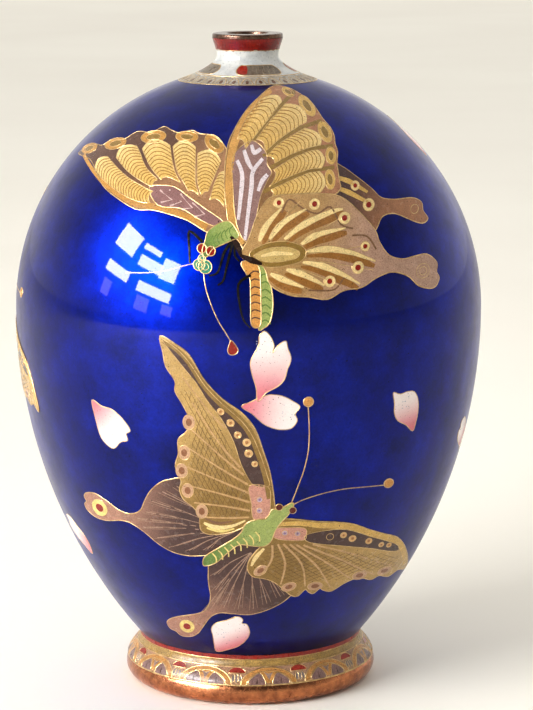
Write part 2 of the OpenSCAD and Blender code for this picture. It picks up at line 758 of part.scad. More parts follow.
module round_the_collar()
    for (i = [0:cartouche_count - 1])
        rotate([0, 0, cartouche_turn + i * 360 / cartouche_count])
            translate([0, 0, collar_z])
                linear_extrude(lip_z - collar_z)
                    children();

module collar_shell() neck_revolve(border_end + border_wire, red_start - red_wire, 0, enamel_t);

module collar_enamel()
    color("gainsboro") difference() {
        collar_shell();
        round_the_collar() offset(delta = wire_w / 2) cartouche_shape();
    }

module collar_border()
    color("tan") neck_revolve(edge_wire, border_end - border_wire, 0, enamel_t);

module collar_cartouches()
    color("gray") intersection() {
        collar_shell();
        round_the_collar() difference() {
            offset(delta = -wire_w / 2) cartouche_shape();
            offset(delta = wire_w / 2) red_end_shape();
        }
    }

module cartouche_ends()
    color("firebrick") intersection() {
        collar_shell();
        round_the_collar() intersection() {
            offset(delta = -wire_w / 2) cartouche_shape();
            offset(delta = -wire_w / 2) red_end_shape();
        }
    }

module neck_band()
    color("darkred") neck_revolve(red_start + red_wire, 2, 0, enamel_t);

module collar_wires()
    color("goldenrod") {
        neck_revolve(0, edge_wire, 0, enamel_t);
        neck_revolve(border_end - border_wire, border_end + border_wire, 0, enamel_t);
        neck_revolve(red_start - red_wire, red_start + red_wire, 0, enamel_t);
        intersection() {
            collar_shell();
            round_the_collar() difference() {
                offset(delta = wire_w / 2) cartouche_shape();
                difference() {
                    offset(delta = -wire_w / 2) cartouche_shape();
                    offset(delta = wire_w / 2) red_end_shape();
                }
                intersection() {
                    offset(delta = -wire_w / 2) cartouche_shape();
                    offset(delta = -wire_w / 2) red_end_shape();
                }
            }
        }
    }

// ---- Cells of the figures, set flush in the ground enamel ----
module inlay(view)
    intersection() {
        enamel_shell();
        cast(view) children();
    }

module left_wing(grow, place, view) drawn(side_forewing_left_pts, place, view, grow);

module right_wing(grow, place, view) drawn(open_forewing_right_pts, place, view, grow);

// The wing that turns furthest from the figure's own view has a view of its own
module side_left_inlay(place, view, left_view)
    difference() {
        inlay(left_view) left_wing(-wire_w / 2, place, left_view);
        cast(view) side_all(place, view);
    }

module open_right_inlay(place, view, right_view)
    difference() {
        inlay(right_view) right_wing(-wire_w / 2, place, right_view);
        cast(view) open_all(place, view);
    }

module side_wires_inlay(place, view, left_view) {
    inlay(view) side_wire_shape(place, view);
    difference() {
        inlay(left_view) difference() {
            left_wing(wire_w / 2, place, left_view);
            left_wing(-wire_w / 2, place, left_view);
        }
        cast(view) side_all(place, view);
    }
}

module open_wires_inlay(place, view, right_view) {
    inlay(view) open_wire_shape(place, view);
    difference() {
        inlay(right_view) difference() {
            right_wing(wire_w / 2, place, right_view);
            right_wing(-wire_w / 2, place, right_view);
        }
        cast(view) open_all(place, view);
    }
}

module side_pocket(place, view, left_view) {
    cast(view) side_all(place, view);
    cast(left_view) left_wing(wire_w / 2, place, left_view);
}

module open_pocket(place, view, right_view) {
    cast(view) open_all(place, view);
    cast(right_view) right_wing(wire_w / 2, place, right_view);
}

module petal_cut(i, grow)
    cast(petal_views[i])
        drawn(petals[i], petal_places[i], petal_views[i], grow);

module back_petals_cut(grow)
    for (place = back_petal_places)
        let (view = [place[0], place[1] > 60 ? 30 : -15, height_of(38 + place[1])])
        cast(view) drawn(loose_petal_pts, place, view, grow);

module petal(i)
    color("pink") difference() {
        intersection() {
            enamel_shell();
            petal_cut(i, -wire_w / 2);
        }
        if (i == 1) petal_cut(0, wire_w / 2);
    }

module back_petals()
    color("pink") intersection() {
        enamel_shell();
        back_petals_cut(-wire_w / 2);
    }

module petal_wires()
    color("goldenrod") {
        for (i = [0:len(petals) - 1])
            difference() {
                intersection() {
                    enamel_shell();
                    petal_cut(i, wire_w / 2);
                }
                petal_cut(i, -wire_w / 2);
                if (i == 1) petal_cut(0, -wire_w / 2);
            }
        difference() {
            intersection() {
                enamel_shell();
                back_petals_cut(wire_w / 2);
            }
            back_petals_cut(-wire_w / 2);
        }
    }

module ground_enamel()
    color("navy") difference() {
        enamel_shell();
        side_pocket(front, side_view, side_left_view);
        open_pocket(front, open_view, open_right_view);
        side_pocket(back_side, back_side_view, back_side_left_view);
        open_pocket(back_open, back_open_view, back_open_right_view);
        for (i = [0:len(petals) - 1])
            petal_cut(i, wire_w / 2);
        back_petals_cut(wire_w / 2);
    }

module side_node(cell) inlay(side_view) side_cell(cell, front, side_view);

module side_forewing_left() color("burlywood") side_left_inlay(front, side_view, side_left_view);

module side_forewing_right() color("burlywood") side_node(RIGHT);

module side_hindwing_near() color("tan") side_node(NEAR);

module side_hindwing_far() color("sienna") side_node(FAR);

module side_thorax() color("yellowgreen") side_node(THORAX);

module side_eyes() color("firebrick") side_node(EYES);

module side_proboscis() color("cadetblue") side_node(PROBOSCIS);

module side_abdomen_back() color("olivedrab") side_node(BACK);

module side_abdomen_belly() color("sandybrown") side_node(BELLY);

module side_antenna_drop() color("firebrick") side_node(DROP);

module side_spots() color("darkred") side_node(SPOTS);

module side_wires() color("goldenrod") side_wires_inlay(front, side_view, side_left_view);

module open_node(cell) inlay(open_view) open_cell(cell, front, open_view);

module open_forewing_left() color("darkkhaki") open_node(OPEN_LEFT);

module open_forewing_right()
    color("darkkhaki") open_right_inlay(front, open_view, open_right_view);

module open_hindwing_left() color("dimgray") open_node(HIND_LEFT);

module open_hindwing_right() color("dimgray") open_node(HIND_RIGHT);

module open_body() color("yellowgreen") open_node(BODY);

module open_eyes() color("firebrick") open_node(OPEN_EYES);

module open_clubs() color("orange") open_node(CLUBS);

module open_spots() color("khaki") open_node(OPEN_SPOTS);

module open_wires() color("goldenrod") open_wires_inlay(front, open_view, open_right_view);

module back_side_forewings()
    color("burlywood") {
        inlay(back_side_view) side_cell(RIGHT, back_side, back_side_view);
        side_left_inlay(back_side, back_side_view, back_side_left_view);
    }

module back_side_hindwings()
    color("tan")
        for (cell = [SPOTS, NEAR, FAR])
            inlay(back_side_view) side_cell(cell, back_side, back_side_view);

module back_side_body()
    color("yellowgreen")
        for (cell = [THORAX, EYES, PROBOSCIS, BELLY, BACK, DROP])
            inlay(back_side_view) side_cell(cell, back_side, back_side_view);

module back_side_wires()
    color("goldenrod") side_wires_inlay(back_side, back_side_view, back_side_left_view);

module back_open_forewings()
    color("cornsilk") {
        inlay(back_open_view) open_cell(OPEN_LEFT, back_open, back_open_view);
        open_right_inlay(back_open, back_open_view, back_open_right_view);
    }

module back_open_hindwings()
    color("dimgray")
        for (cell = [HIND_LEFT, HIND_RIGHT, OPEN_SPOTS])
            inlay(back_open_view) open_cell(cell, back_open, back_open_view);

module back_open_body()
    color("yellowgreen")
        for (cell = [BODY, OPEN_EYES, CLUBS])
            inlay(back_open_view) open_cell(cell, back_open, back_open_view);

module back_open_wires()
    color("goldenrod") open_wires_inlay(back_open, back_open_view, back_open_right_view);

copper_body();
base_disc();
foot_ring();
mouth_ring();
lining_enamel();
base_enamel();
ground_enamel();
collar_enamel();
collar_border();
collar_cartouches();
cartouche_ends();
neck_band();
collar_wires();
foot_red_line();
foot_sand_band();
foot_frieze();
foot_fans();
foot_windows();
foot_caps();
foot_wires();
side_forewing_left();
side_forewing_right();
side_hindwing_near();
side_hindwing_far();
side_thorax();
side_eyes();
side_proboscis();
side_abdomen_back();
side_abdomen_belly();
side_antenna_drop();
side_spots();
side_wires();
open_forewing_left();
open_forewing_right();
open_hindwing_left();
open_hindwing_right();
open_body();
open_eyes();
open_clubs();
open_spots();
open_wires();
back_side_forewings();
back_side_hindwings();
back_side_body();
back_side_wires();
back_open_forewings();
back_open_hindwings();
back_open_body();
back_open_wires();
back_petals();
petal_wires();
for (i = [0:len(petals) - 1])
    petal(i);
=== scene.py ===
"""Cloisonne vase: the looks. Lengths are in millimetres until new_object() makes the mesh."""
import math
import random

import bpy
import numpy as np
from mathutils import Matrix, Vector
from mathutils.geometry import delaunay_2d_cdt
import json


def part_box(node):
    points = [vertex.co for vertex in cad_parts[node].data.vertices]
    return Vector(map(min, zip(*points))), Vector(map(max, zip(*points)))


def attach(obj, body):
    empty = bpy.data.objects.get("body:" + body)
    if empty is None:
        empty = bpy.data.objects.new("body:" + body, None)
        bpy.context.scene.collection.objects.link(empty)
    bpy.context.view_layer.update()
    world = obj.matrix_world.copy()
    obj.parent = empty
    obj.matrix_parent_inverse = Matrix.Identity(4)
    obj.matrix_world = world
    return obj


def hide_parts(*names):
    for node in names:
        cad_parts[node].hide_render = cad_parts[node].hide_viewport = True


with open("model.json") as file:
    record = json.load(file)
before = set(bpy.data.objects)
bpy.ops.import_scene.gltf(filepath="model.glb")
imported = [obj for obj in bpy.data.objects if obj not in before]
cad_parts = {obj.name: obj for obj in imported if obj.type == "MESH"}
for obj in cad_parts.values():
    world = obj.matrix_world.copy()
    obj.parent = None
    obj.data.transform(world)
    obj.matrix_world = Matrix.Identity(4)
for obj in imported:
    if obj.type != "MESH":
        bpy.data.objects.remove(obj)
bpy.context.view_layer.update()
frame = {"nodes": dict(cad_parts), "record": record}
MM = 0.001
random.seed(7)


def box_mm(node):
    low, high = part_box(node)
    return [v / MM for v in low], [v / MM for v in high]


# ---- Driving sizes, all read from the frame ----
low, high = box_mm("ground_enamel")
BODY_R = (high[0] - low[0]) / 2
FOOT_H = low[2]
COLLAR_Z = high[2]
BELLY_Z = FOOT_H + 76
WAIST_R = box_mm("foot_red_line")[1][0] + 0.3
COLLAR_R = box_mm("collar_wires")[1][0]
LIP_R = box_mm("mouth_ring")[1][0]
VASE_H = box_mm("mouth_ring")[1][2]
LIP_Z = box_mm("neck_band")[1][2]
RED_Z = box_mm("neck_band")[0][2]
BORDER_Z = box_mm("collar_border")[1][2]
MOULDING_R = box_mm("foot_ring")[1][0]
MOULDING_H = box_mm("foot_wires")[0][2]
RECESS_R = box_mm("base_enamel")[1][0]
RECESS_TOP = box_mm("base_enamel")[0][2]
FANS_TOP = box_mm("foot_sand_band")[0][2]
SAND_TOP = box_mm("foot_sand_band")[1][2]
MOUTH_R = next(m for m in frame["record"]["mounts"] if m["name"] == "mouth")["dims"]["r_mm"]
NECK_R = MOUTH_R + 2.3
WAIST_Z = VASE_H - 5


def arc_radius(rise, inset):
    return (rise * rise + inset * inset) / (2 * inset)


LOWER_R = arc_radius(BELLY_Z - FOOT_H, BODY_R - WAIST_R)
UPPER_R = arc_radius(COLLAR_Z - BELLY_Z, BODY_R - COLLAR_R)


def radius_at(z):
    """Radius of the body: two arcs that meet upright at the belly"""
    z = np.asarray(z, float)
    r = np.where(z < BELLY_Z, LOWER_R, UPPER_R)
    return BODY_R - r + np.sqrt(np.maximum(0, r * r - (z - BELLY_Z) ** 2))


def on_body(azimuth, z, lift):
    """Points and outward normals on the body. Azimuth 0 faces -Y and turns towards +X."""
    azimuth, z = np.asarray(azimuth, float), np.asarray(z, float)
    r_arc = np.where(z < BELLY_Z, LOWER_R, UPPER_R)
    r = radius_at(z)
    out = (r - (BODY_R - r_arc)) / r_arc
    up = (z - BELLY_Z) / r_arc
    n = np.stack([out * np.sin(azimuth), -out * np.cos(azimuth), up], -1)
    p = np.stack([r * np.sin(azimuth), -r * np.cos(azimuth), z], -1)
    return p + n * np.asarray(lift, float)[..., None], n


# ---- Meshes ----
def new_object(name, verts, faces, material, normals=None, colours=None):
    mesh = bpy.data.meshes.new(name)
    mesh.from_pydata([Vector(v) * MM for v in verts], [], faces)
    mesh.polygons.foreach_set("use_smooth", [True] * len(mesh.polygons))
    if colours is not None:
        layer = mesh.color_attributes.new("tint", "FLOAT_COLOR", "POINT")
        flat = np.ones((len(verts), 4))
        flat[:, :3] = colours
        layer.data.foreach_set("color", flat.ravel())
    mesh.materials.append(material)
    mesh.update()
    if normals is not None:
        mesh.normals_split_custom_set_from_vertices([tuple(n) for n in normals])
    obj = bpy.data.objects.new(name, mesh)
    bpy.context.scene.collection.objects.link(obj)
    return obj


def keep(obj, slot, *nodes):
    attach(obj, "root")
    if nodes:
        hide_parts(*nodes)
    return obj


def revolve(name, profile, material, around=288, closed=True, sharp=None):
    """Turns a profile of (radius, height) points into a mesh. Points run with metal on
    their left. An edge that turns by more than the sharp angle is kept crisp."""
    n = len(profile)
    verts = []
    for r, z in profile:
        for k in range(around):
            a = 2 * math.pi * k / around
            verts.append((r * math.sin(a), -r * math.cos(a), z))
    faces = []
    for i in range(n if closed else n - 1):
        j = (i + 1) % n
        for k in range(around):
            l = (k + 1) % around
            faces.append((i * around + k, i * around + l, j * around + l, j * around + k))
    obj = new_object(name, verts, faces, material)
    if sharp is not None:
        obj.data.set_sharp_from_angle(angle=math.radians(sharp))
    return obj


def smoothed(points, steps=4, closed=True):
    """A Catmull-Rom curve through a few points"""
    pts = np.array(points, float)
    n = len(pts)
    out = []
    for i in range(n if closed else n - 1):
        a, b, c, d = ((pts[(i + k) % n] if closed else pts[min(max(i + k, 0), n - 1)]) for k in (-1, 0, 1, 2))
        for s in range(steps):
            t = s / steps
            out.append(0.5 * (2 * b + (c - a) * t + (2 * a - 5 * b + 4 * c - d) * t * t
                              + (3 * b - a - 3 * c + d) * t ** 3))
    if not closed:
        out.append(pts[-1])
    return np.array(out)


def inside(points, poly):
    x, y = points[:, 0], points[:, 1]
    hit = np.zeros(len(points), bool)
    for (x0, y0), (x1, y1) in zip(poly, np.roll(poly, -1, 0)):
        cross = (y0 > y) != (y1 > y)
        at = x0 + (y - y0) * (x1 - x0) / (y1 - y0 if y1 != y0 else 1e-9)
        hit ^= cross & (x < at)
    return hit


class Place:
    """Where a figure faces, how far it is moved up, and -1 where it is mirrored"""

    def __init__(self, azimuth=0.0, lift=0.0, side=1):
        self.azimuth = math.radians(azimuth)
        self.lift = lift
        self.side = side

    def unroll(self, pts):
        """Points as seen from the front, to (turn * 50, height)"""
        pts = np.asarray(pts, float)
        z = pts[:, 1] + self.lift
        turn = np.arcsin(np.clip(pts[:, 0] / radius_at(z), -0.995, 0.995))
        return np.stack([50 * turn, z], -1)

    def seen(self, flat):
        return np.stack([radius_at(flat[:, 1]) * np.sin(flat[:, 0] / 50), flat[:, 1] - self.lift], -1)

    def roll(self, flat, lift):
        return on_body(self.azimuth + self.side * flat[:, 0] / 50, flat[:, 1], lift)


class Band:
    """A turned surface that takes points as [degrees round, height], such as the neck"""
    side = 1

    def __init__(self, profile):
        self.r, self.z = np.array(profile, float).T
        self.along = np.concatenate([[0], np.cumsum(np.hypot(np.diff(self.r), np.diff(self.z)))])
        self.mean_r = self.r.mean()

    def unroll(self, pts):
        pts = np.asarray(pts, float)
        return np.stack([np.radians(pts[:, 0]) * self.mean_r, np.interp(pts[:, 1], self.z, self.along)], -1)

    def seen(self, flat):
        return np.stack([np.degrees(flat[:, 0] / self.mean_r), np.interp(flat[:, 1], self.along, self.z)], -1)

    def roll(self, flat, lift):
        a = flat[:, 0] / self.mean_r
        step = 0.05
        r0, r1 = (np.interp(flat[:, 1] + d, self.along, self.r) for d in (-step, step))
        z0, z1 = (np.interp(flat[:, 1] + d, self.along, self.z) for d in (-step, step))
        size = np.hypot(r1 - r0, z1 - z0)
        out, up = (z1 - z0) / size, (r0 - r1) / size
        r = np.interp(flat[:, 1], self.along, self.r) + out * lift
        z = np.interp(flat[:, 1], self.along, self.z) + up * lift
        n = np.stack([out * np.sin(a), -out * np.cos(a), up], -1)
        return np.stack([r * np.sin(a), -r * np.cos(a), z], -1), n


FRONT = Place()
CELL_GRID = 0.9
SKIRT = 0.12
WIRE_PROUD, OUTLINE_W, FEELER_W, RING_W, INNER_W = 0.02, 0.26, 0.24, 0.16, 0.12
WIRE_SHOULDER, WIRE_SUNK = 0.012, -0.1
LOWEST, LAYER, DETAIL = 0.03, 0.045, 0.011


class Cells:
    """Collects enamel cells of one piece: thin skins that follow the surface. Heights are
    plain millimetres, or after at() they are counted in details above a layer."""

    def __init__(self, place, wires=None):
        self.place, self.wires = place, wires
        self.base, self.step = 0, 1
        self.verts, self.normals, self.colours, self.faces = [], [], [], []

    def at(self, deep):
        """The same cells, at a layer of the figure"""
        self.base, self.step = LOWEST + LAYER * deep, DETAIL
        return self

    def height(self, fine):
        return self.base + self.step * fine

    def add(self, outline, colour, fine=0, steps=4, grid=CELL_GRID):
        """colour is one colour, or a function of seen-from-the-front (x, z) points"""
        pts = smoothed(outline, steps) if steps > 1 else np.array(outline, float)
        flat = self.place.unroll(pts)
        lo, hi = flat.min(0), flat.max(0)
        gx = np.arange(lo[0] + grid / 2, hi[0], grid)
        gz = np.arange(lo[1] + grid / 2, hi[1], grid)
        inner = np.array([(x + (j % 2) * grid / 2, z) for j, z in enumerate(gz) for x in gx]).reshape(-1, 2)
        if len(inner):
            inner = inner[inside(inner, flat)]
        if len(inner):
            gap = np.min(np.linalg.norm(inner[:, None] - flat[None], axis=2), 1)
            inner = inner[gap > grid * 0.4]
        every = [Vector(p) for p in np.vstack([flat, inner.reshape(-1, 2)])]
        n = len(flat)
        got = delaunay_2d_cdt(every, [], [list(range(n))], 1, 1e-5)
        out = np.array([tuple(v) for v in got[0]])
        p, nrm = self.place.roll(out, np.full(len(out), self.height(fine)))
        rgb = np.array(colour(self.place.seen(out))) if callable(colour) else np.tile(colour, (len(out), 1))
        base = len(self.verts)
        self.verts.extend(p)
        self.normals.extend(nrm)
        self.colours.extend(rgb)
        flip = self.place.side < 0
        for f in got[2]:
            self.faces.append(tuple(base + i for i in (reversed(f) if flip else f)))
        rim = {}
        for f in got[2]:
            for a, b in zip(f, list(f[1:]) + [f[0]]):
                rim[(a, b)] = rim.get((a, b), 0) + 1
        edge = [(a, b) for a, b in rim if (b, a) not in rim]
        below = {}
        for a, b in edge:
            for i in (a, b):
                if i not in below:
                    below[i] = len(self.verts)
                    self.verts.append(p[i] - nrm[i] * SKIRT)
                    self.normals.append(nrm[i])
                    self.colours.append(rgb[i])
        for a, b in edge:
            face = (base + a, below[a], below[b], base + b)
            self.faces.append(tuple(reversed(face)) if flip else face)

    def line(self, points, fine=0, width=0.2, steps=4, closed=False):
        self.wires.line(points, self.height(fine), width, steps, closed)

    def cell(self, outline, colour, fine=0, width=OUTLINE_W, steps=4, grid=CELL_GRID):
        """A whole cell inside its wire"""
        self.add(outline, colour, fine, steps, grid)
        self.line(outline, fine, width, steps, True)

    def dot(self, centre, rx, rz, colour, fine=0, turn=0, points=20):
        self.add(ellipse(centre, rx, rz, turn, points), colour, fine, 1)

    def ring(self, centre, rx, rz, fine=0, turn=0, width=RING_W):
        self.line(ellipse(centre, rx, rz, turn, 24), fine, width, 1, True)

    def bead(self, centre, rx, rz, colour, fine=0, turn=0, width=RING_W):
        """A round cell inside its wire"""
        self.dot(centre, rx, rz, colour, fine, turn)
        self.ring(centre, rx, rz, fine, turn, width)

    def strip(self, line, width, colour, fine=0, steps=4):
        """A band of enamel along a line; width may be one value for each point"""
        self.add(band(line, width, steps), colour, fine, 1)

    def build(self, name, material, slot, *nodes):
        obj = new_object(name, self.verts, self.faces, material, self.normals, self.colours)
        return keep(obj, slot, *nodes)


def ellipse(centre, rx, rz, turn, points):
    a = np.arange(points) * 2 * math.pi / points
    t = math.radians(turn)
    x, z = rx * np.cos(a), rz * np.sin(a)
    return np.stack([centre[0] + x * math.cos(t) - z * math.sin(t),
                     centre[1] + x * math.sin(t) + z * math.cos(t)], -1)


def band(line, width, steps=4):
    pts = smoothed(line, steps, closed=False)
    w = np.interp(np.linspace(0, 1, len(pts)), np.linspace(0, 1, np.size(width)), np.atleast_1d(width))
    d = np.gradient(pts, axis=0)
    side = np.stack([-d[:, 1], d[:, 0]], -1) / np.linalg.norm(d, axis=1)[:, None] * w[:, None] / 2
    return np.vstack([pts + side, (pts - side)[::-1]])


class Wires:
    """Collects wires: flat-topped strips that stand a hair proud of the enamel"""

    def __init__(self, place):
        self.place = place
        self.verts, self.faces = [], []

    def line(self, points, lift, width=0.2, steps=4, closed=False):
        pts = smoothed(points, steps, closed) if steps > 1 else np.array(points, float)
        flat = self.place.unroll(pts)
        centre, n = self.place.roll(flat, np.full(len(flat), lift))
        ahead = np.roll(centre, -1, 0) - np.roll(centre, 1, 0)
        if not closed:
            ahead[0], ahead[-1] = centre[1] - centre[0], centre[-1] - centre[-2]
        side = np.cross(ahead, n)
        side /= np.linalg.norm(side, axis=1)[:, None] + 1e-12
        rows = ((-0.5, WIRE_SUNK), (-0.4, WIRE_SHOULDER), (0, WIRE_PROUD), (0.4, WIRE_SHOULDER),
                (0.5, WIRE_SUNK))
        base = len(self.verts)
        for across, up in rows:
            self.verts.extend(centre + side * across * width + n * up)
        m = len(centre)
        for i in range(m if closed else m - 1):
            j = (i + 1) % m
            for k in range(len(rows) - 1):
                self.faces.append((base + k * m + i, base + k * m + j,
                                   base + (k + 1) * m + j, base + (k + 1) * m + i))

    def build(self, name, material, *nodes):
        return keep(new_object(name, self.verts, self.faces, material), "gilt_wire", *nodes)


# ---- Materials ----
def shader(name, rough, metal=0.0, coat=0.0):
    """A material with its own Principled shader; returns the material, its tree and shader"""
    mat = bpy.data.materials.new(name)
    mat.use_nodes = True
    tree = mat.node_tree
    bsdf = tree.nodes["Principled BSDF"]
    bsdf.inputs["Roughness"].default_value = rough
    bsdf.inputs["Metallic"].default_value = metal
    bsdf.inputs["Coat Weight"].default_value = coat
    bsdf.inputs["Coat Roughness"].default_value = 0.03
    return mat, tree, bsdf


def node(tree, kind, **inputs):
    made = tree.nodes.new("ShaderNode" + kind)
    for key, value in inputs.items():
        name = key.replace("_", " ")
        if name in made.inputs:
            made.inputs[name].default_value = value
        else:
            setattr(made, key, value)
    return made


def place_in(tree):
    """Object space in millimetres"""
    coord = node(tree, "TexCoord")
    scale = node(tree, "VectorMath", operation="SCALE")
    scale.inputs["Scale"].default_value = 1 / MM
    tree.links.new(coord.outputs["Object"], scale.inputs[0])
    return scale.outputs[0]


def noise(tree, size_mm, detail=3.0, rough=0.55, seed=0.0):
    """Noise from 0 to 1 whose lumps are about the given size"""
    shift = node(tree, "VectorMath", operation="ADD")
    tree.links.new(place_in(tree), shift.inputs[0])
    shift.inputs[1].default_value = (seed, seed * 0.7, seed * 1.3)
    made = node(tree, "TexNoise", Scale=1 / size_mm, Detail=detail, Roughness=rough)
    tree.links.new(shift.outputs[0], made.inputs["Vector"])
    return made.outputs[0]


def ramp(tree, value, *stops):
    """stops are (position, colour or number)"""
    made = node(tree, "ValToRGB")
    band = made.color_ramp
    while len(band.elements) < len(stops):
        band.elements.new(0.5)
    for element, (at, colour) in zip(band.elements, stops):
        element.position = at
        rgb = colour if isinstance(colour, tuple) else (colour,) * 3
        element.color = (*rgb, 1)
    tree.links.new(value, made.inputs[0])
    return made.outputs[0]


def mix(tree, factor, a, b, mode="MIX"):
    made = node(tree, "Mix", data_type="RGBA", blend_type=mode)
    for value, socket in ((factor, made.inputs[0]), (a, made.inputs[6]), (b, made.inputs[7])):
        if isinstance(value, (int, float)):
            socket.default_value = value
        elif isinstance(value, tuple):
            socket.default_value = (*value, 1)
        else:
            tree.links.new(value, socket)
    return made.outputs[2]


def bump(tree, bsdf, height, strength, distance_mm):
    made = node(tree, "Bump", Strength=strength, Distance=distance_mm * MM)
    tree.links.new(height, made.inputs["Height"])
    tree.links.new(made.outputs[0], bsdf.inputs["Normal"])


def tone(code):
    """Linear colour from a six-digit display colour"""
    rgb = [int(code[i:i + 2], 16) / 255 for i in (0, 2, 4)]
    return tuple(c / 12.92 if c <= 0.04045 else ((c + 0.055) / 1.055) ** 2.4 for c in rgb)


# The rib colour is a dark tan: painted shade that stands in for shadowed gold rib wires
CREAM, STRAW, SHADED_RIB = tone("f0d494"), tone("d3aa5c"), tone("94692c")
VEIN, MARGIN = tone("85603c"), tone("5c4034")
TAN, COPPER_PINK, OLIVE = tone("bd8a45"), tone("a87452"), tone("8a6c34")
KHAKI, KHAKI_PALE, DUSK = tone("8c6c36"), tone("bc985a"), tone("4a3430")
DUSK_PINK, GREEN, GREEN_DARK = tone("a87a66"), tone("9aa85e"), tone("64803e")
TEAL, RED, ORANGE = tone("3f8a6c"), tone("8c1c10"), tone("cf924c")
WHITE, PINK, FLECK = tone("f0e4e2"), tone("d2707c"), tone("9aa0b4")
BROWN, YELLOW, MAUVE = tone("7d5a3e"), tone("e8cf7e"), tone("8d6c66")


def enamel(name, rough=0.2, speckle=0.25):
    """Fired glass: the cell's own colour, clouded, with grains and pinholes"""
    mat, tree, bsdf = shader(name, rough)
    bsdf.inputs["Specular IOR Level"].default_value = 0.3
    tint = node(tree, "VertexColor", layer_name="tint").outputs[0]
    cloud = ramp(tree, noise(tree, 2.2, 5, 0.65), (0.3, 1 - speckle), (0.7, 1.0))
    clouded = mix(tree, 1.0, tint, cloud, "MULTIPLY")
    grain = ramp(tree, noise(tree, 0.28, 2, 0.6, 4), (0.35, 1 - speckle), (0.62, 1.0 + speckle * 0.3))
    grained = mix(tree, 1.0, clouded, grain, "MULTIPLY")
    pit = ramp(tree, noise(tree, 0.35, 1, 0.4, 9), (0.24, 1.0), (0.29, 0.0))
    tree.links.new(mix(tree, pit, grained, tone("2a1c14")), bsdf.inputs["Base Color"])
    uneven = ramp(tree, noise(tree, 1.5, 3, 0.6, 2), (0.3, rough * 0.7), (0.75, rough * 1.7))
    tree.links.new(uneven, bsdf.inputs["Roughness"])
    bump(tree, bsdf, noise(tree, 0.9, 3, 0.6, 5), 0.25, 0.02)
    return mat


def ground_blue():
    """Deep cobalt enamel: mottled, with a few pinholes, fine scratches and a slow swell"""
    mat, tree, bsdf = shader("blue_enamel", 0.4, metal=1.0, coat=0.25)
    bsdf.inputs["Specular Tint"].default_value = (0.85, 0.85, 1.0, 1)
    base = ramp(tree, noise(tree, 9, 7, 0.68), (0.3, tone("000a4c")), (0.5, tone("000f6c")),
                (0.72, tone("00188a")))
    fine = ramp(tree, noise(tree, 0.5, 3, 0.7, 3), (0.3, 0.72), (0.7, 1.12))
    mottled = mix(tree, 1.0, base, fine, "MULTIPLY")
    pits = ramp(tree, noise(tree, 0.45, 1, 0.3, 8), (0.2, 1.0), (0.235, 0.0))
    tree.links.new(mix(tree, pits, mottled, tone("02030f")), bsdf.inputs["Base Color"])
    tree.links.new(ramp(tree, noise(tree, 6, 5, 0.7, 6), (0.3, 0.29), (0.8, 0.4)), bsdf.inputs["Roughness"])
    swell = mix(tree, 0.25, noise(tree, 9, 2, 0.5, 1), noise(tree, 1.1, 3, 0.6, 2))
    bump(tree, bsdf, swell, 0.35, 0.06)
    return mat


def plain_enamel(name, light, dark, speck, rough=0.2, lumps=0.5):
    """Enamel of one colour with grains of another, for bands and the inside"""
    mat, tree, bsdf = shader(name, rough, coat=0.3)
    base = ramp(tree, noise(tree, 3, 4, 0.6), (0.3, dark), (0.7, light))
    spots = ramp(tree, noise(tree, lumps, 2, 0.6, 7), (0.6, 0.0), (0.68, 0.85))
    tree.links.new(mix(tree, spots, base, speck), bsdf.inputs["Base Color"])
    bump(tree, bsdf, noise(tree, 0.7, 3, 0.6, 5), 0.3, 0.03)
    return mat


def metal(name, bright, dull, rough, lumps=3.0, dirt=0.5):
    """Worn metal: bright where it is rubbed, dull and brown where it is not"""
    mat, tree, bsdf = shader(name, rough, metal=1.0)
    base = ramp(tree, noise(tree, lumps, 6, 0.7), (0.5 - dirt * 0.3, dull), (0.5 + dirt * 0.2, bright))
    tree.links.new(base, bsdf.inputs["Base Color"])
    worn = ramp(tree, noise(tree, lumps * 0.4, 5, 0.7, 3), (0.3, rough * 0.7), (0.75, min(0.9, rough * 1.8)))
    tree.links.new(worn, bsdf.inputs["Roughness"])
    bump(tree, bsdf, noise(tree, 0.4, 4, 0.6, 2), 0.35, 0.03)
    return mat


# ---- Wings ----
def along(points, count):
    """Points evenly spaced along a smooth line"""
    pts = smoothed(points, 6, closed=False)
    gone = np.concatenate([[0], np.cumsum(np.linalg.norm(np.diff(pts, axis=0), axis=1))])
    at = np.linspace(0, gone[-1], count)
    return np.stack([np.interp(at, gone, pts[:, 0]), np.interp(at, gone, pts[:, 1])], -1)


CELL_GROWTH = 0.4


def ribbed(cells, a, b, bulge=0.3, spacing=0.6):
    """One cell between two veins, from the margin in to the body, with curved ribs across it in dark tan,
    painted shade of shadowed gold rib wires, cream at the margin and straw at the body"""
    length = np.linalg.norm(np.diff(smoothed(a, 4, False), axis=0), axis=1).sum()
    count = max(4, int(length / spacing))
    left, right = along(a, count), along(b, count)
    across = (right - left) / np.linalg.norm(right - left, axis=1)[:, None]
    left, right = left - across * CELL_GROWTH, right + across * CELL_GROWTH
    middle = (left + right) / 2
    out = -np.gradient(middle, axis=0)
    out /= np.linalg.norm(out, axis=1)[:, None]
    t = np.linspace(0, 1, 9)[:, None]
    arcs = []
    for i in range(count):
        reach = np.linalg.norm(right[i] - left[i])
        top = middle[i] + out[i] * bulge * reach * 2
        arcs.append((1 - t) ** 2 * left[i] + 2 * t * (1 - t) * top + t * t * right[i])
    outline = np.vstack([arcs[0], right[1:-1], arcs[-1][::-1], left[1:-1][::-1]])
    base, tip = middle[-1], arcs[0][4]
    size = max(1e-6, np.linalg.norm(tip - base))

    def tint(pts):
        near = np.clip(np.linalg.norm(pts - base, axis=1) / size, 0, 1)[:, None]
        fade = (1 - near) ** 0.35
        return np.array(STRAW) * fade + np.array(CREAM) * (1 - fade)

    cells.cell(outline, tint, 1, 0.2, 1)
    for arc in arcs[1:-1]:
        # Each rib is a dark tan enamel strip: painted shade in place of a shadowed gold wire
        cells.strip(arc[::2], 0.17, SHADED_RIB, 2, 2)


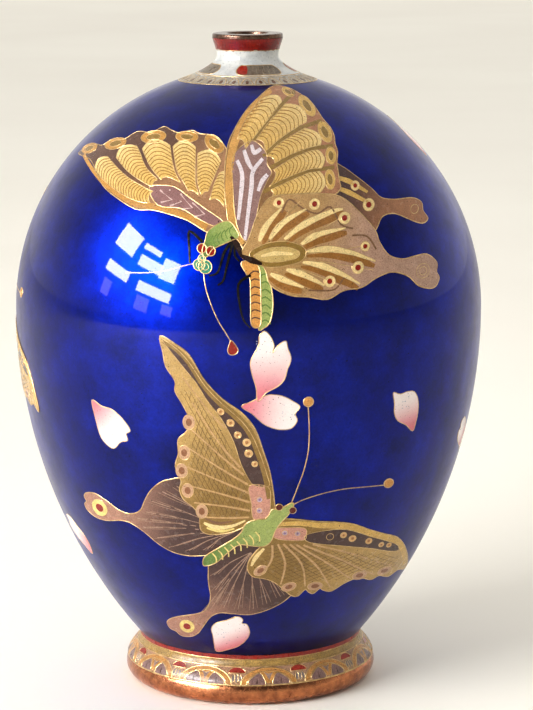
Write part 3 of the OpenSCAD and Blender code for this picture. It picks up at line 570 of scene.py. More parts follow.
def gold_eye(cells, at, rx, rz, turn, colour=TAN):
    """A long gold spot with an olive middle, in the wing's margin"""
    cells.bead(at, rx * 0.62, rz * 0.66, colour, 1, turn)
    cells.bead(at, rx * 0.34, rz * 0.33, OLIVE, 2, turn, INNER_W)


def hatch(cells, outline, angle, spacing, width, colour, fine):
    """Fine parallel strokes that stop at the cell's edge"""
    poly = smoothed(outline, 4)
    middle = poly.mean(0)
    a = math.radians(angle)
    ahead, side = np.array([math.cos(a), math.sin(a)]), np.array([-math.sin(a), math.cos(a)])
    reach = np.abs(poly - middle).max() * 1.5
    for offset in np.arange(-reach, reach, spacing):
        run = []
        for t in np.append(np.arange(-reach, reach, 0.8), np.nan):
            at = middle + side * (offset + random.uniform(-0.08, 0.08)) + ahead * t
            if not np.isnan(t) and inside(at[None], poly)[0]:
                run.append(at)
                continue
            if len(run) > 3:
                cells.strip(run[1:-1], (width * 0.5, width, width * 0.5), colour, fine, 1)
            run = []


def eye_spot(cells, at, r, middle=RED, edge=CREAM, squash=1.0, turn=0):
    """A round spot with a pale ring, a wire round each"""
    cells.bead(at, r, r * squash, edge, 1, turn)
    cells.bead(at, r * 0.5, r * 0.5 * squash, middle, 2, turn, INNER_W)


def toward(inner, outer, start, end):
    """A tint that runs from one colour to another between two points"""
    start, end = np.array(start, float), np.array(end, float)
    axis = (end - start) / np.sum((end - start) ** 2)

    def tint(pts):
        t = np.clip((pts - start) @ axis, 0, 1)[:, None]
        t = t * t * (3 - 2 * t)
        return np.array(inner) * (1 - t) + np.array(outer) * t
    return tint


# ---- The drawing: [across, height] as seen from straight in front ----
SIDE_FOREWING_LEFT = [
    (-38, 124), (-34, 126.3), (-32.2, 126.5), (-30, 127.8), (-27, 128.3), (-24, 130), (-21, 130),
    (-18.2, 131.3), (-16.4, 130.7), (-14.5, 130.3), (-12, 130.9), (-10.2, 130.3), (-7.5, 130),
    (-5, 128.3), (-3, 124), (-3, 115), (-6, 110.5), (-9, 111.3), (-12, 113), (-15, 114), (-20, 115),
    (-24, 115), (-29, 117.3), (-31.7, 119.2), (-33.3, 121.7), (-35, 123.6)
]
SIDE_FOREWING_RIGHT = [
    (5.8, 139.2), (3, 137.5), (1, 136), (-1, 133.8), (-2.8, 131), (-4, 128.5), (-4.6, 125),
    (-4.8, 121), (-4.4, 116.5), (-3.7, 112.5), (-1.5, 109), (0, 107.3), (4, 109), (12, 115),
    (19.5, 118.4), (19.8, 121), (19.4, 124), (19.6, 126.3), (19.1, 127.8), (18.9, 129.5), (18, 131.2),
    (16.6, 132.7), (15.3, 134.5), (14, 136), (12, 137.4), (9, 138.8)
]
SIDE_HINDWING_NEAR = [
    (2, 114), (3.5, 116.5), (5, 117.9), (8, 118.4), (15, 118.3), (19, 117.9), (22, 116.2), (26, 112.2),
    (27.6, 110), (28.5, 107.6), (30.5, 104.9), (33.5, 103.8), (36, 104), (39, 104), (41.3, 101.9),
    (41.2, 100), (41.8, 98.6), (41, 97), (39.5, 96.8), (37, 97.8), (34.5, 100.2), (31, 101.4),
    (27.5, 100.5), (24.5, 98.9), (20.5, 98.5), (17, 96.9), (13, 97.6), (9, 98.1), (5, 100.3),
    (3.6, 104), (0.5, 105.3), (-1.3, 106.5), (0.5, 110)
]
SIDE_HINDWING_FAR = [
    (18, 124), (20.3, 123.6), (24, 121), (27, 118.6), (29, 116.7), (32, 116), (36, 115.8),
    (38.2, 114.6), (38.5, 112.9), (39.6, 111.2), (38.5, 110.4), (36.5, 111), (33, 112.8), (31, 113.3),
    (29, 112.7), (27, 110), (22, 112), (17, 117)
]
SIDE_THORAX = [
    (-3.2, 112.9), (-4.7, 113.2), (-6.6, 112.4), (-8.3, 111), (-8.8, 109.3), (-9.4, 107.4),
    (-9.1, 106.1), (-8.2, 106.2), (-7.3, 107.5), (-5.5, 108.4), (-3.2, 109.4), (-1.6, 110.3)
]
SIDE_BELLY = [
    (-1.2, 104.9), (0, 102.5), (0.7, 101.3), (0.8, 96), (0.9, 92.3), (1.8, 91.4), (2.9, 92.2), (3, 96),
    (2.9, 101), (2.6, 104), (0.8, 105.3)
]
SIDE_BACK = [
    (1.6, 105), (2.2, 92), (3.6, 91.4), (4.8, 92.5), (5.4, 94.8), (5.5, 97.3), (5, 100.8), (4, 104.5)
]
OPEN_FOREWING_LEFT = [
    (-18.5, 89.2), (-15.3, 87.7), (-12.2, 85.3), (-9.2, 80.2), (-5.3, 76), (-1.2, 73), (1.6, 69.3),
    (3.4, 64), (4.8, 59), (5.6, 53), (5.4, 49), (0.3, 47), (-2.5, 45.5), (-5, 44.7), (-8.5, 44.4),
    (-10.2, 45.3), (-10.5, 47.2), (-10.6, 49), (-12, 51), (-14, 52.7), (-14.8, 55), (-14.4, 57),
    (-15.6, 60.3), (-14.9, 63.3), (-14.9, 66.5), (-13.3, 68.2), (-12.1, 70.5), (-13.7, 74.3),
    (-15.4, 77.3), (-15.4, 79.6), (-17.3, 82.6), (-17.9, 85.5)
]
OPEN_FOREWING_RIGHT = [
    (5.5, 47.6), (7.5, 48.2), (11, 47.8), (15, 47), (19, 46.4), (23, 45.3), (27, 43), (30, 41.3),
    (33, 39.5), (34.8, 36.7), (35.9, 33), (36.2, 29.5), (35.6, 27.9), (33.8, 29.2), (31.5, 28.5),
    (29.2, 29.8), (27.4, 29.3), (25.5, 30.3), (23.5, 30.7), (21, 29.9), (18.3, 28.4), (16.4, 29),
    (15.7, 29.6), (14.3, 28.4), (13.2, 28.9), (12.4, 29.7), (10.8, 28.1), (9.2, 28.5), (7.3, 30.6),
    (5.3, 32.4), (3.2, 33.3), (1, 33.8), (-0.2, 35.5), (0, 37.6), (1.4, 40), (3, 42)
]
OPEN_HINDWING_LEFT = [
    (-14, 57.3), (-17, 57), (-19.2, 56), (-21.3, 53.8), (-22.6, 51.3), (-23.5, 49), (-25, 47.8),
    (-26.8, 47.5), (-29, 48.2), (-31.5, 49.8), (-34, 50.9), (-36, 50.5), (-36.6, 49.4), (-36.1, 48.3),
    (-36.6, 47.4), (-36, 46), (-34, 44.7), (-31.5, 44.6), (-28, 45.4), (-25.5, 45), (-22.5, 43.1),
    (-20, 41), (-17, 39.3), (-14, 38.6), (-11, 38.7), (-7.5, 39.6), (-1.5, 43.5), (-0.5, 46.5),
    (-4.5, 47.5), (-8.5, 50), (-11, 53)
]
OPEN_HINDWING_RIGHT = [
    (-8.3, 37.7), (-8.9, 34.3), (-8.8, 31), (-8.5, 28.3), (-9, 25.6), (-10.2, 23.8), (-12.5, 22.7),
    (-16, 21.5), (-18, 20.3), (-18.6, 19), (-17.9, 17.5), (-16.6, 16.9), (-15.3, 15.8), (-13, 16.1),
    (-11.4, 17.5), (-10.2, 19.7), (-8.6, 22.4), (-6.5, 23.7), (-3.5, 23.6), (0, 23.4), (3, 24.2),
    (6, 25.6), (8.3, 27.3), (9.4, 29.4), (6, 33.5), (2.5, 36), (3, 41.5), (0, 42.8), (-4.5, 40.6)
]
OPEN_BODY = [
    (-10, 37), (-9.3, 39), (-5.5, 41.8), (-3, 43.6), (-1.5, 45.2), (-0.5, 47.2), (2, 48.3),
    (3.8, 48.4), (5.2, 50.5), (7, 50.7), (9.3, 52), (9.8, 51.3), (8.7, 49.2), (6.9, 47.1), (5.8, 45.3),
    (4.9, 42.8), (3.3, 41.6), (0.5, 41.8), (-2, 42), (-4.5, 40), (-7, 37.4), (-9.3, 36.4)
]
PETAL_1 = [
    (2.2, 75.4), (1.9, 78.3), (1.2, 80.8), (0.7, 83), (0.9, 84.8), (2.4, 87.6), (2.6, 89.6),
    (3.7, 90.7), (4.9, 89.6), (5.7, 87.6), (5.4, 86), (6.6, 87.6), (8.2, 88.5), (8.6, 86.9),
    (9.3, 84.6), (8.5, 82.3), (7.9, 80.2), (6.5, 78.7), (4, 77.3)
]
PETAL_2 = [
    (-1.3, 74.3), (0.8, 75.4), (2.7, 76.3), (5, 76.9), (7.5, 76.5), (9.7, 75.3), (11.2, 74),
    (10.2, 72.5), (10.6, 70.9), (9.4, 69.3), (7.5, 69), (5.5, 69.4), (3.3, 70.5), (1, 72.7)
]
PETAL_3 = [
    (36, 65.5), (36.7, 67.3), (37.2, 70), (37.1, 72.7), (36.2, 74.6), (34.6, 74.9), (33, 74.6),
    (31.5, 75.2), (31.8, 72.7), (31.8, 70.5), (32.6, 68.6), (34.5, 67.2)
]
PETAL_4 = [
    (-7.4, 12.2), (-8, 14.5), (-8.2, 17), (-8.5, 19), (-7.5, 20.7), (-5, 21.7), (-2.6, 22.8),
    (-1.4, 22), (-1.6, 20.9), (-0.5, 20.6), (0.1, 18.2), (-0.6, 16.3), (-2.3, 14.3), (-4.8, 13)
]
PETAL_5 = [
    (-33.9, 73.3), (-31.7, 72.3), (-29.5, 71.9), (-27.7, 70.7), (-26.1, 68.9), (-25.4, 67.5),
    (-26.3, 66.7), (-26, 65.2), (-27.6, 64.6), (-29.2, 62.9), (-31, 63.8), (-32.2, 65.5), (-33, 68.5)
]
LOOSE_PETAL = [
    (0.3, 33.5), (-2, 34.8), (-4.6, 36), (-6.8, 37.6), (-7.4, 39.2), (-6.4, 40), (-6.8, 41.2),
    (-5, 42), (-3.4, 41.7), (-1, 40), (1, 38.4), (1.8, 36.5), (1.3, 34.6)
]
SIDE_COILS = [((-9.5, 105.7), 0.8), ((-10.1, 104.4), 1.2), ((-8.8, 104.0), 1.4)]
SIDE_EYES = [((-9.5, 107.7), 1.2), ((-7.6, 107.2), 1.2)]
SIDE_FEELERS = [
    [(-9.3, 105), (-13, 104.2), (-17, 103), (-21, 102.3), (-26, 102)],
    [(-9.2, 103.5), (-8.8, 100), (-7.5, 96), (-6, 92.7), (-4.5, 90.3), (-3.4, 88.4)]
]
SIDE_DROP = [(-3.3, 88.7), (-2.3, 87.5), (-1.9, 86.6), (-2.3, 85.9), (-3.1, 85.6), (-3.9, 85.9), (-4.1, 86.8),
             (-3.8, 87.8)]
SIDE_JOINT = [[(-3.4, 110.2), (-2, 108.4), (-1.2, 106.2)], [(-1.4, 106.4), (1, 105.4), (3.2, 104.6)]]
SIDE_LEGS = [
    [(-3.2, 109.4), (-4.8, 107), (-5.5, 104.8), (-6.3, 102.8), (-8, 102.2)],
    [(-3, 109), (-4.2, 104.5), (-5, 101.3), (-6.2, 100.3)],
    [(-9.4, 109), (-12.2, 111.1), (-12.2, 107.5), (-12.1, 104.7)],
    [(-2.4, 110), (-2.6, 106.6), (-1.6, 105.2)],
    [(0.8, 102.4), (-1.8, 100.5), (-1.5, 96), (-0.7, 93), (0.7, 91.4)]
]
SIDE_SPOTS = [
    ((6.8, 116.8), 1.1), ((14.4, 116.3), 1.2), ((20.8, 113.2), 1.3), ((25.2, 107.2), 1.05),
    ((23.6, 103), 1.35), ((17.5, 100.6), 1.25)
]
SIDE_TAIL_EYE = (38, 100.7)
FAR_SPOTS = [((23.3, 119.5), 0.95), ((26.2, 115.5), 1.25)]
OPEN_EYES = [((6.7, 51.1), 0.95), ((9.6, 50.2), 0.95)]
OPEN_CLUBS = [(13, 75), (30.8, 54)]
OPEN_FEELERS = [
    [(9.3, 51.7), (10.6, 55.2), (12.1, 59.6), (13, 64), (13.2, 68), (13.1, 71.3), (12.9, 74.5)],
    [(9.7, 51.4), (12, 52.5), (16, 53.6), (20.5, 54.2), (25, 54.1), (30.3, 53.7)]
]
OPEN_SPOTS = [
    ((-5.7, 73.2), 0.75), ((-3.6, 70.7), 0.8), ((-2.1, 68), 0.75), ((-0.2, 66.3), 0.85),
    ((0.2, 63.8), 0.85), ((1.5, 61.4), 0.65)
]
OPEN_SPOTS_RIGHT = [
    ((20.8, 42.9), 0.7), ((22.8, 41.7), 0.8), ((26.5, 40.3), 0.75), ((29.4, 38.6), 0.6), ((31.2, 37.9), 0.6)
]
TAIL_EYES = [((-33, 47.5), 1.75, 1.2, 20), ((-14, 19), 1.7, 1.1, 0)]


# ---- The butterfly seen from the side ----
def side_forewing_left(cells):
    cells.at(1).cell(SIDE_FOREWING_LEFT, toward(tone("9c7250"), MARGIN, (-14, 120), (-19, 128)))
    lower_edge = [(-36.5, 124), (-33.6, 121.3), (-31.2, 119.4), (-28, 117.6), (-24, 115.9), (-20, 115.7),
                  (-15, 114.7), (-12, 113.6), (-8.5, 111.9)]
    cells.strip(lower_edge, (0.8, 1.1, 1.4), TAN, 1)
    between = [
        ([(-33.2, 121.8), (-31, 120.3), (-28, 118.6), (-24, 117), (-20.6, 116.7)],
         [(-30.9, 124.3), (-28.2, 122.2), (-25.6, 120.5), (-22, 118.9), (-20.2, 118.3)]),
        ([(-28.3, 124.8), (-25.6, 122.5), (-22, 120.6), (-19.9, 119.9)],
         [(-24.4, 127), (-23.6, 125.8), (-22, 122.9), (-19.3, 120.7)]),
        ([(-22.4, 126.8), (-20.4, 123.4), (-18, 121)],
         [(-17, 127.7), (-16.8, 126.4), (-16, 123.1), (-14.5, 120.6)]),
        ([(-15.6, 127.6), (-14.7, 123.3), (-13.2, 120.8), (-12, 118.9)],
         [(-11.4, 127.6), (-11.4, 121.2), (-10.5, 118.4)]),
        ([(-10.2, 126.4), (-10.2, 121.2), (-9.3, 118.4)],
         [(-5.9, 125.2), (-7.5, 121.7), (-8.7, 118.8)]),
        ([(-5.5, 122.7), (-6.7, 120.2), (-7.5, 117.2)],
         [(-4.6, 122.6), (-4.9, 120), (-5.2, 116.2)]),
    ]
    for a, b in between:
        ribbed(cells, a, b, 0.26, 0.62)
    patch = [(-21, 119.4), (-17.5, 120), (-15, 119.6), (-12, 117.7), (-9, 115.8), (-5, 113.2), (-6.5, 112.2),
             (-10, 113.5), (-14, 115.6), (-19, 116)]
    cells.cell(patch, tone("8a6462"), 1, 0.22)
    chevrons = [
        [(-18.6, 119), (-16, 117.2), (-18.4, 116.6)], [(-16.6, 119.2), (-14, 116.9), (-16.4, 116)],
        [(-14.2, 118.5), (-11.6, 115.8), (-13.8, 115.4)], [(-11.6, 116.8), (-9, 114.6), (-11.2, 114)]
    ]
    for line in chevrons:
        cells.strip(line, 0.35, tone("d2b4ae"), 2, 1)
    eyes = [((-35.2, 125.4), 3.4, 1.2, 25), ((-29, 127.2), 4.2, 1.5, 18), ((-20.4, 129.2), 4.6, 1.8, 10),
            ((-13, 129.6), 4, 1.6, 0), ((-7, 128.4), 3.8, 2.2, -35)]
    for at, rx, rz, turn in eyes:
        gold_eye(cells, at, rx, rz, turn)


def side_forewing_right(cells):
    cells.at(2).cell(SIDE_FOREWING_RIGHT, toward(VEIN, COPPER_PINK, (4, 120), (13, 128)))
    leading = [(5.2, 138.5), (2.8, 136.7), (0.4, 134.2), (-1.5, 131.3), (-2.9, 128), (-3.6, 124.5),
               (-3.8, 120), (-3.4, 115), (-2.4, 111), (-0.9, 108.6)]
    cells.strip(leading, (1.1, 1.7, 1.6, 1.2), tone("c4924e"), 1)
    veins = [[(1.5, 129), (4.5, 132.5), (7.6, 135.8), (10.5, 138)],
             [(3.5, 126), (7, 128.8), (11, 131), (16.3, 132.4)],
             [(5, 123.7), (9, 125.6), (13, 127), (18.6, 127.5)],
             [(3.5, 119), (8, 121), (13, 122.8), (18.8, 123.3)]]
    for line in veins:
        cells.strip(line, 0.75, OLIVE, 1)
    between = [
        ([(3.6, 136.9), (1.4, 134.7), (-0.5, 131.9), (-1.8, 129)],
         [(7.2, 136.3), (4, 132.9), (1.1, 129.7), (-0.6, 127.6)]),
        ([(8.6, 135.6), (5, 132.2), (2.3, 128.9)],
         [(12.6, 132.5), (10.5, 131.6), (6.6, 129.4), (3.6, 127)]),
        ([(12.8, 130.9), (7.4, 128.2), (4.5, 125.7)],
         [(15.6, 128), (13, 127.6), (8.8, 126.3), (5.6, 124.8)]),
        ([(15.4, 126.5), (13, 126.2), (9.3, 124.9), (5.6, 122.9)],
         [(15.9, 123.7), (13, 123.5), (7.8, 121.8), (4.9, 120.4)]),
        ([(15.6, 122.3), (13, 122), (8.2, 120.3), (5.2, 119)],
         [(15.6, 118.9), (13, 118.9), (8.5, 118.8), (5.3, 118.4)]),
    ]
    for a, b in between:
        ribbed(cells, a, b, 0.3, 0.75)
    base = [(-2.9, 126), (1, 129), (4, 127), (4.4, 124.5), (5.3, 122.8), (4.3, 121), (3, 118.2),
            (2, 114), (1, 109.5), (-0.9, 109.8), (-2.4, 114), (-2.9, 120)]
    cells.cell(base, MAUVE, 1, 0.2)
    strokes = [[(-0.4, 109.5), (0.3, 115), (1, 120), (1.3, 123), (3.4, 125.5)],
               [(1.2, 123.4), (0.2, 125), (-0.6, 127.2)],
               [(-1.8, 113.5), (-1.3, 118), (-1, 122.5), (-2.1, 125.2)],
               [(1, 128.2), (1.6, 126.7), (3, 127.4)],
               [(2.4, 119.2), (3.3, 121.2), (4.4, 122.4)]]
    for line in strokes:
        cells.strip(line, (0.6, 0.95, 0.7), tone("ddd0d4"), 2)
    eyes = [((9, 138), 2.4, 1, -25), ((13.1, 135.3), 4, 1.8, -48), ((16.9, 130.2), 3.6, 1.9, -60),
            ((18.1, 125.6), 2.8, 1.7, -82), ((17.8, 121), 3.2, 1.7, -84)]
    for at, rx, rz, turn in eyes:
        gold_eye(cells, at, rx, rz, turn, STRAW)


def side_hindwing_near(cells):
    cells.at(3).cell(SIDE_HINDWING_NEAR, toward(tone("b08a58"), tone("b8927c"), (12, 108), (26, 104)))
    centre = [(0.5, 106.8), (4, 108.7), (8, 109.1), (11.3, 108.2), (12.6, 106.8), (11.6, 105.1), (9, 104.3),
              (5, 103.9), (2.6, 104.6)]
    cells.cell(centre, OLIVE, 1, 0.22)
    core = [(1.6, 106.4), (4.2, 107.7), (8, 108), (11, 107), (10.4, 105.6), (6, 104.9), (3, 105.3)]
    cells.cell(core, tone("c4a768"), 2, 0.16)
    cells.strip([(3, 106.2), (6, 106.7), (9.8, 106.5)], (0.4, 0.9, 0.4), CREAM, 3)
    streaks = [
        [(2.6, 109.2), (4.2, 112.4), (7.4, 115.8)],
        [(4.8, 109.6), (7.6, 112.8), (12.6, 115.4)],
        [(8, 109.5), (12, 112.3), (18, 114.6), (20.5, 115)],
        [(11.5, 108.4), (15, 110.2), (21, 111.2)],
        [(12.8, 106.9), (17, 107.2), (22, 106.2), (27.4, 104)],
        [(11.8, 104.8), (16, 103.8), (20, 102), (24, 99.6)],
        [(8.4, 103.4), (12, 102.2), (16.4, 99.8)],
        [(5, 102.6), (8, 101.2), (12, 99.6)],
    ]
    for line in streaks:
        x, z = np.array(line[-1]) - np.array(line[0])
        shift = np.array([z, -x]) / math.hypot(x, z)
        cells.strip([np.array(p) + shift for p in line], (0.4, 1.6, 2.1, 0.8), tone("95642f"), 1)
        cells.cell(band(line, (0.5, 1.35, 0.95, 0.3)), CREAM, 2, 0.13, 1)
    rays = [[(12.4, 108.6), (17.6, 112.2), (22.4, 114)], [(13, 106.4), (19, 106.7), (26.5, 107.6)],
            [(13, 105.2), (18.6, 104.2), (27, 102.2)], [(10.6, 103.6), (15.4, 101.6), (20.2, 99.4)],
            [(5, 110.6), (8.6, 114.4), (12, 117.6)]]
    for line in rays:
        cells.line(line, 1, 0.18)
    scallops = [[(7.4, 114.8), (9, 117.4), (11.8, 115.6), (15, 114.4), (17.8, 115.6), (20, 112),
                 (22.6, 111)],
                [(22.4, 109.6), (25.6, 109.2), (27.6, 106.4)],
                [(20.6, 101.2), (18.6, 98.9), (15.6, 98.8), (13, 99)]]
    for line in scallops:
        cells.strip(line, 0.35, BROWN, 2)
    for r in (1.5, 0.85):
        cells.ring(SIDE_TAIL_EYE, r, r, 1)
    for at, r in SIDE_SPOTS:
        eye_spot(cells.at(3.3), at, r * 0.95)


def side_hindwing_far(cells):
    cells.at(0).cell(SIDE_HINDWING_FAR, toward(DUSK, COPPER_PINK, (20, 118), (34, 114)))
    for line in ([(18.5, 121.6), (22, 120.4), (26, 118)], [(18.5, 119.6), (22, 118.2), (27, 115.4)]):
        cells.strip(line, (0.6, 1, 0.5), STRAW, 1)
    for at, r in FAR_SPOTS:
        eye_spot(cells, at, r)
    cells.ring((36.5, 113.5), 0.9, 0.9, 1)


def side_body(parts):
    back, belly, thorax = parts["abdomen_back"], parts["abdomen_belly"], parts["thorax"]
    back.at(0).cell(SIDE_BACK, GREEN)
    belly.at(1).cell(SIDE_BELLY, ORANGE)
    for i in range(7):
        z = 102.8 - i * 1.6
        belly.at(1).strip([(0.6, z - 0.2), (1.6, z + 0.4), (3, z)], 0.3, MARGIN, 1)
        back.at(0).strip([(3, z - 0.5), (4, z - 0.2), (5, z - 1)], 0.3, GREEN_DARK, 1)
    thorax.at(4).cell(SIDE_THORAX, toward(GREEN, GREEN_DARK, (-3, 111), (-9, 108)))
    for i in range(6):
        x = -3.4 - i * 0.85
        stroke = [(x + 0.5, 112.3 - i * 0.4), (x - 0.3, 111.4 - i * 0.5), (x + 0.2, 110.2 - i * 0.5)]
        thorax.strip(stroke, 0.22, GREEN_DARK, 1)
    for at, r in SIDE_COILS:
        parts["proboscis"].at(2).bead(at, r, r, TEAL, 0, 0, 0.2)
        parts["proboscis"].ring(at, r / 2, r / 2, 0, 0, 0.13)
    for at, r in SIDE_EYES:
        parts["eyes"].at(4).bead(at, r * 0.8, r * 0.8, RED, 1, 0, 0.25)
    parts["antenna_drop"].at(1).cell(SIDE_DROP, RED, 0, 0.2)
    for line in SIDE_JOINT:
        thorax.at(4).strip(line, (0.5, 1.3, 0.5), tone("2a1a14"), 1)
    for line in SIDE_FEELERS:
        thorax.at(0).line(line, 0, FEELER_W)
    for line in SIDE_LEGS:
        thorax.at(3).strip(line, (0.6, 0.42, 0.3), tone("100d0c"), 2)


def side_butterfly(parts):
    side_hindwing_far(parts["hindwing_far"])
    side_forewing_left(parts["forewing_left"])
    side_forewing_right(parts["forewing_right"])
    side_hindwing_near(parts["hindwing_near"])
    side_body(parts)


# ---- The butterfly seen from above ----
# What each forewing has of its own. Hatches are (degrees, spacing, width), lobes are
# (x, z, degrees), and rims are (line, widths, colour).
OPEN_LEFT = {
    "outline": OPEN_FOREWING_LEFT, "pale_from": (-4, 52), "pale_to": (-14, 72), "edge": (0.9, 1.5, 1.5),
    "edge_colour": KHAKI, "dots": [(2.5, 53), (2.4, 50.4)], "spots": OPEN_SPOTS,
    "hatches": [(-62, 0.85, 0.16), (74, 1.1, 0.14)], "vein": (0.55, 0.45, 0.35),
    "vein_colour": tone("bd9464"),
    "dark": [
        (-18, 88.4), (-14.8, 86.5), (-12, 83.4), (-8.9, 78.7), (-5.3, 74.9), (-1.4, 71.3), (1, 67.8),
        (2.8, 63.2), (4.1, 58.8), (4.5, 56.2), (1.4, 56.4), (0, 58.2), (-1.5, 61.5), (-3, 66.5),
        (-5.5, 71.5), (-8.5, 75.5), (-10.8, 79.3), (-13.8, 83)],
    "leading": [
        (-17.8, 88.1), (-15, 86.5), (-12.4, 83.9), (-9.4, 79.2), (-5.8, 75.2), (-2.2, 72),
        (0.6, 68.4), (2.5, 63.4), (3.9, 58.6), (4.8, 53.2)],
    "pink": [
        (0.3, 56.3), (4.4, 55.9), (4.8, 52), (4.4, 49), (1.2, 48.3), (0.7, 52)],
    "inner_wing": [
        (-14.6, 78.4), (-11.4, 77.8), (-8.8, 74), (-5.9, 70.8), (-3.6, 66), (-2, 61), (-0.4, 57.4),
        (0.2, 54), (0.4, 49.6), (-3, 47.4), (-8, 47.6), (-10, 51), (-12.4, 54.4), (-12.6, 59), (-13, 64),
        (-12.4, 68), (-11.4, 71), (-13.2, 75)],
    "veins": [
        [(-1.6, 60.6), (-6, 66), (-11.8, 75)], [(-0.8, 58.8), (-6, 63.4), (-12.6, 69.6)],
        [(0, 56.6), (-6, 60.4), (-13.6, 65.4)], [(0.2, 54.6), (-6, 57.4), (-14, 60.8)],
        [(0.4, 52.4), (-6, 54.4), (-13.6, 56.2)], [(0.4, 50.4), (-5, 51.4), (-11.6, 52)],
        [(0.2, 48.8), (-4, 48.6), (-9.4, 48.6)], [(-4.6, 69.4), (-8, 73), (-13.8, 80.6)]],
    "lobe": (1.3, 1.7),
    "lobes": [(-12.5, 70.6, 0), (-13.6, 63.6, 0), (-14.2, 59.4, 0), (-13, 54.8, 0), (-10, 50, 0)],
    "rims": [([(-9.6, 47.2), (-7, 46.2), (-3.6, 46.6), (-0.6, 48)], (0.5, 1.1, 0.7, 0.3), CREAM),
             ([(-9.4, 48.4), (-6.8, 47.3), (-3.4, 47.8)], (0.3, 0.7, 0.3), BROWN),
             ([(-9, 46), (-6, 45.3), (-3, 46)], (0.4, 0.7, 0.3), YELLOW)]
}
OPEN_RIGHT = {
    "outline": OPEN_FOREWING_RIGHT, "pale_from": (10, 40), "pale_to": (24, 32),
    "edge": (0.9, 1.5, 1.4, 0.9), "edge_colour": STRAW, "dots": [(7.9, 44.7), (10.7, 44.4)],
    "spots": OPEN_SPOTS_RIGHT, "hatches": [(18, 0.85, 0.15), (-38, 1.1, 0.13)], "vein": (0.5, 0.5, 0.35),
    "vein_colour": tone("c29a6c"),
    "dark": [
        (12.6, 43.9), (17, 44.6), (21.5, 44.2), (26, 42), (30, 39.7), (33, 37.4), (33.6, 35.6),
        (31.6, 36), (27, 38.2), (20.4, 40.2), (13.2, 42)],
    "leading": [
        (6.2, 46.9), (11, 46.9), (15, 46.1), (19, 45.5), (23, 44.4), (27, 42.1), (30, 40.4),
        (33, 38.4), (34.4, 36), (35.2, 32.6), (35.4, 29.6)],
    "pink": [
        (6.2, 46), (12, 45.7), (12.6, 44), (11.8, 42.6), (6.6, 43.2), (5, 44.6)],
    "inner_wing": [
        (6, 42), (12.4, 41.2), (20, 39.4), (27, 37.4), (32, 35), (34.6, 31.6), (33, 30.4), (29, 31),
        (24, 32), (19, 31), (14, 31.4), (9.6, 31), (5, 34), (1.6, 35.6), (2.6, 39)],
    "veins": [
        [(14, 41.4), (23, 37.6), (33.6, 30.6)], [(12, 41.4), (20, 36.8), (28, 30.6)],
        [(10.4, 41.6), (17, 36.4), (22.6, 31)], [(9, 41.8), (14.6, 36.2), (18, 29.6)],
        [(7.6, 42), (11.6, 36.6), (12.4, 30.6)], [(6.4, 42), (8, 37), (7, 31.6)],
        [(5.2, 41.8), (5, 38), (2.8, 34.4)]],
    "lobe": (1.7, 1.1),
    "lobes": [(30.4, 30.8, 0), (24.6, 31.4, 0), (14.6, 30.4, 0), (8.8, 30.8, 20), (2.6, 35.4, 40)],
    "rims": [([(0.6, 36.6), (1.6, 38.8), (3.4, 41)], (0.4, 1, 0.5), CREAM)]
}


def open_forewing(cells, wing):
    cells.at(3).cell(wing["outline"], toward(KHAKI, KHAKI_PALE, wing["pale_from"], wing["pale_to"]))
    cells.cell(wing["dark"], DUSK, 1, 0.2)
    cells.strip(wing["leading"], wing["edge"], wing["edge_colour"], 2)
    cells.cell(wing["pink"], tone("c88f7c"), 1, 0.2)
    for at in wing["dots"]:
        eye_spot(cells.at(3.2), at, 0.62, tone("7f6aa0"), tone("b59cc0"))
    for at, r in wing["spots"]:
        eye_spot(cells, at, r, tone("a87040"), tone("dcae76"))
    cells.at(3)
    for fine, (angle, spacing, width) in zip((1, 1.4), wing["hatches"]):
        hatch(cells, wing["inner_wing"], angle, spacing, width, tone("6c5026"), fine)
    for line in wing["veins"]:
        cells.strip(line, wing["vein"], wing["vein_colour"], 2)
        cells.line(line, 2, 0.1)
    rx, rz = wing["lobe"]
    for x, z, turn in wing["lobes"]:
        cells.bead((x, z), rx, rz, tone("c39a78"), 2, turn, 0.13)
        cells.dot((x, z), rx * 0.5, rz * 0.5, tone("8a5a3c"), 3, turn)
    for line, width, colour in wing["rims"]:
        cells.strip(line, width, colour, 2)


def open_hindwing(cells, outline, root, tips, tail_from, tail_to, tail_eye):
    cells.at(0).cell(outline, toward(DUSK, DUSK_PINK, tail_from, tail_to))
    for x, z in tips:
        mid = (root[0] * 0.45 + x * 0.55, root[1] * 0.45 + z * 0.55 + 0.7)
        cells.strip([root, mid, (x, z)], (0.12, 0.2, 0.16), tone("a58570"), 1)
        for side in (-1, 1):
            bend = ((mid[0] + x) / 2 + side * 0.5, (mid[1] + z) / 2 + 0.3 * side)
            cells.strip([mid, bend, (x + side * 0.9, z + 0.3 * side)], (0.08, 0.14, 0.12), tone("94735f"), 1)
    at, r, squash, turn = tail_eye
    eye_spot(cells, at, r, RED, YELLOW, squash, turn)


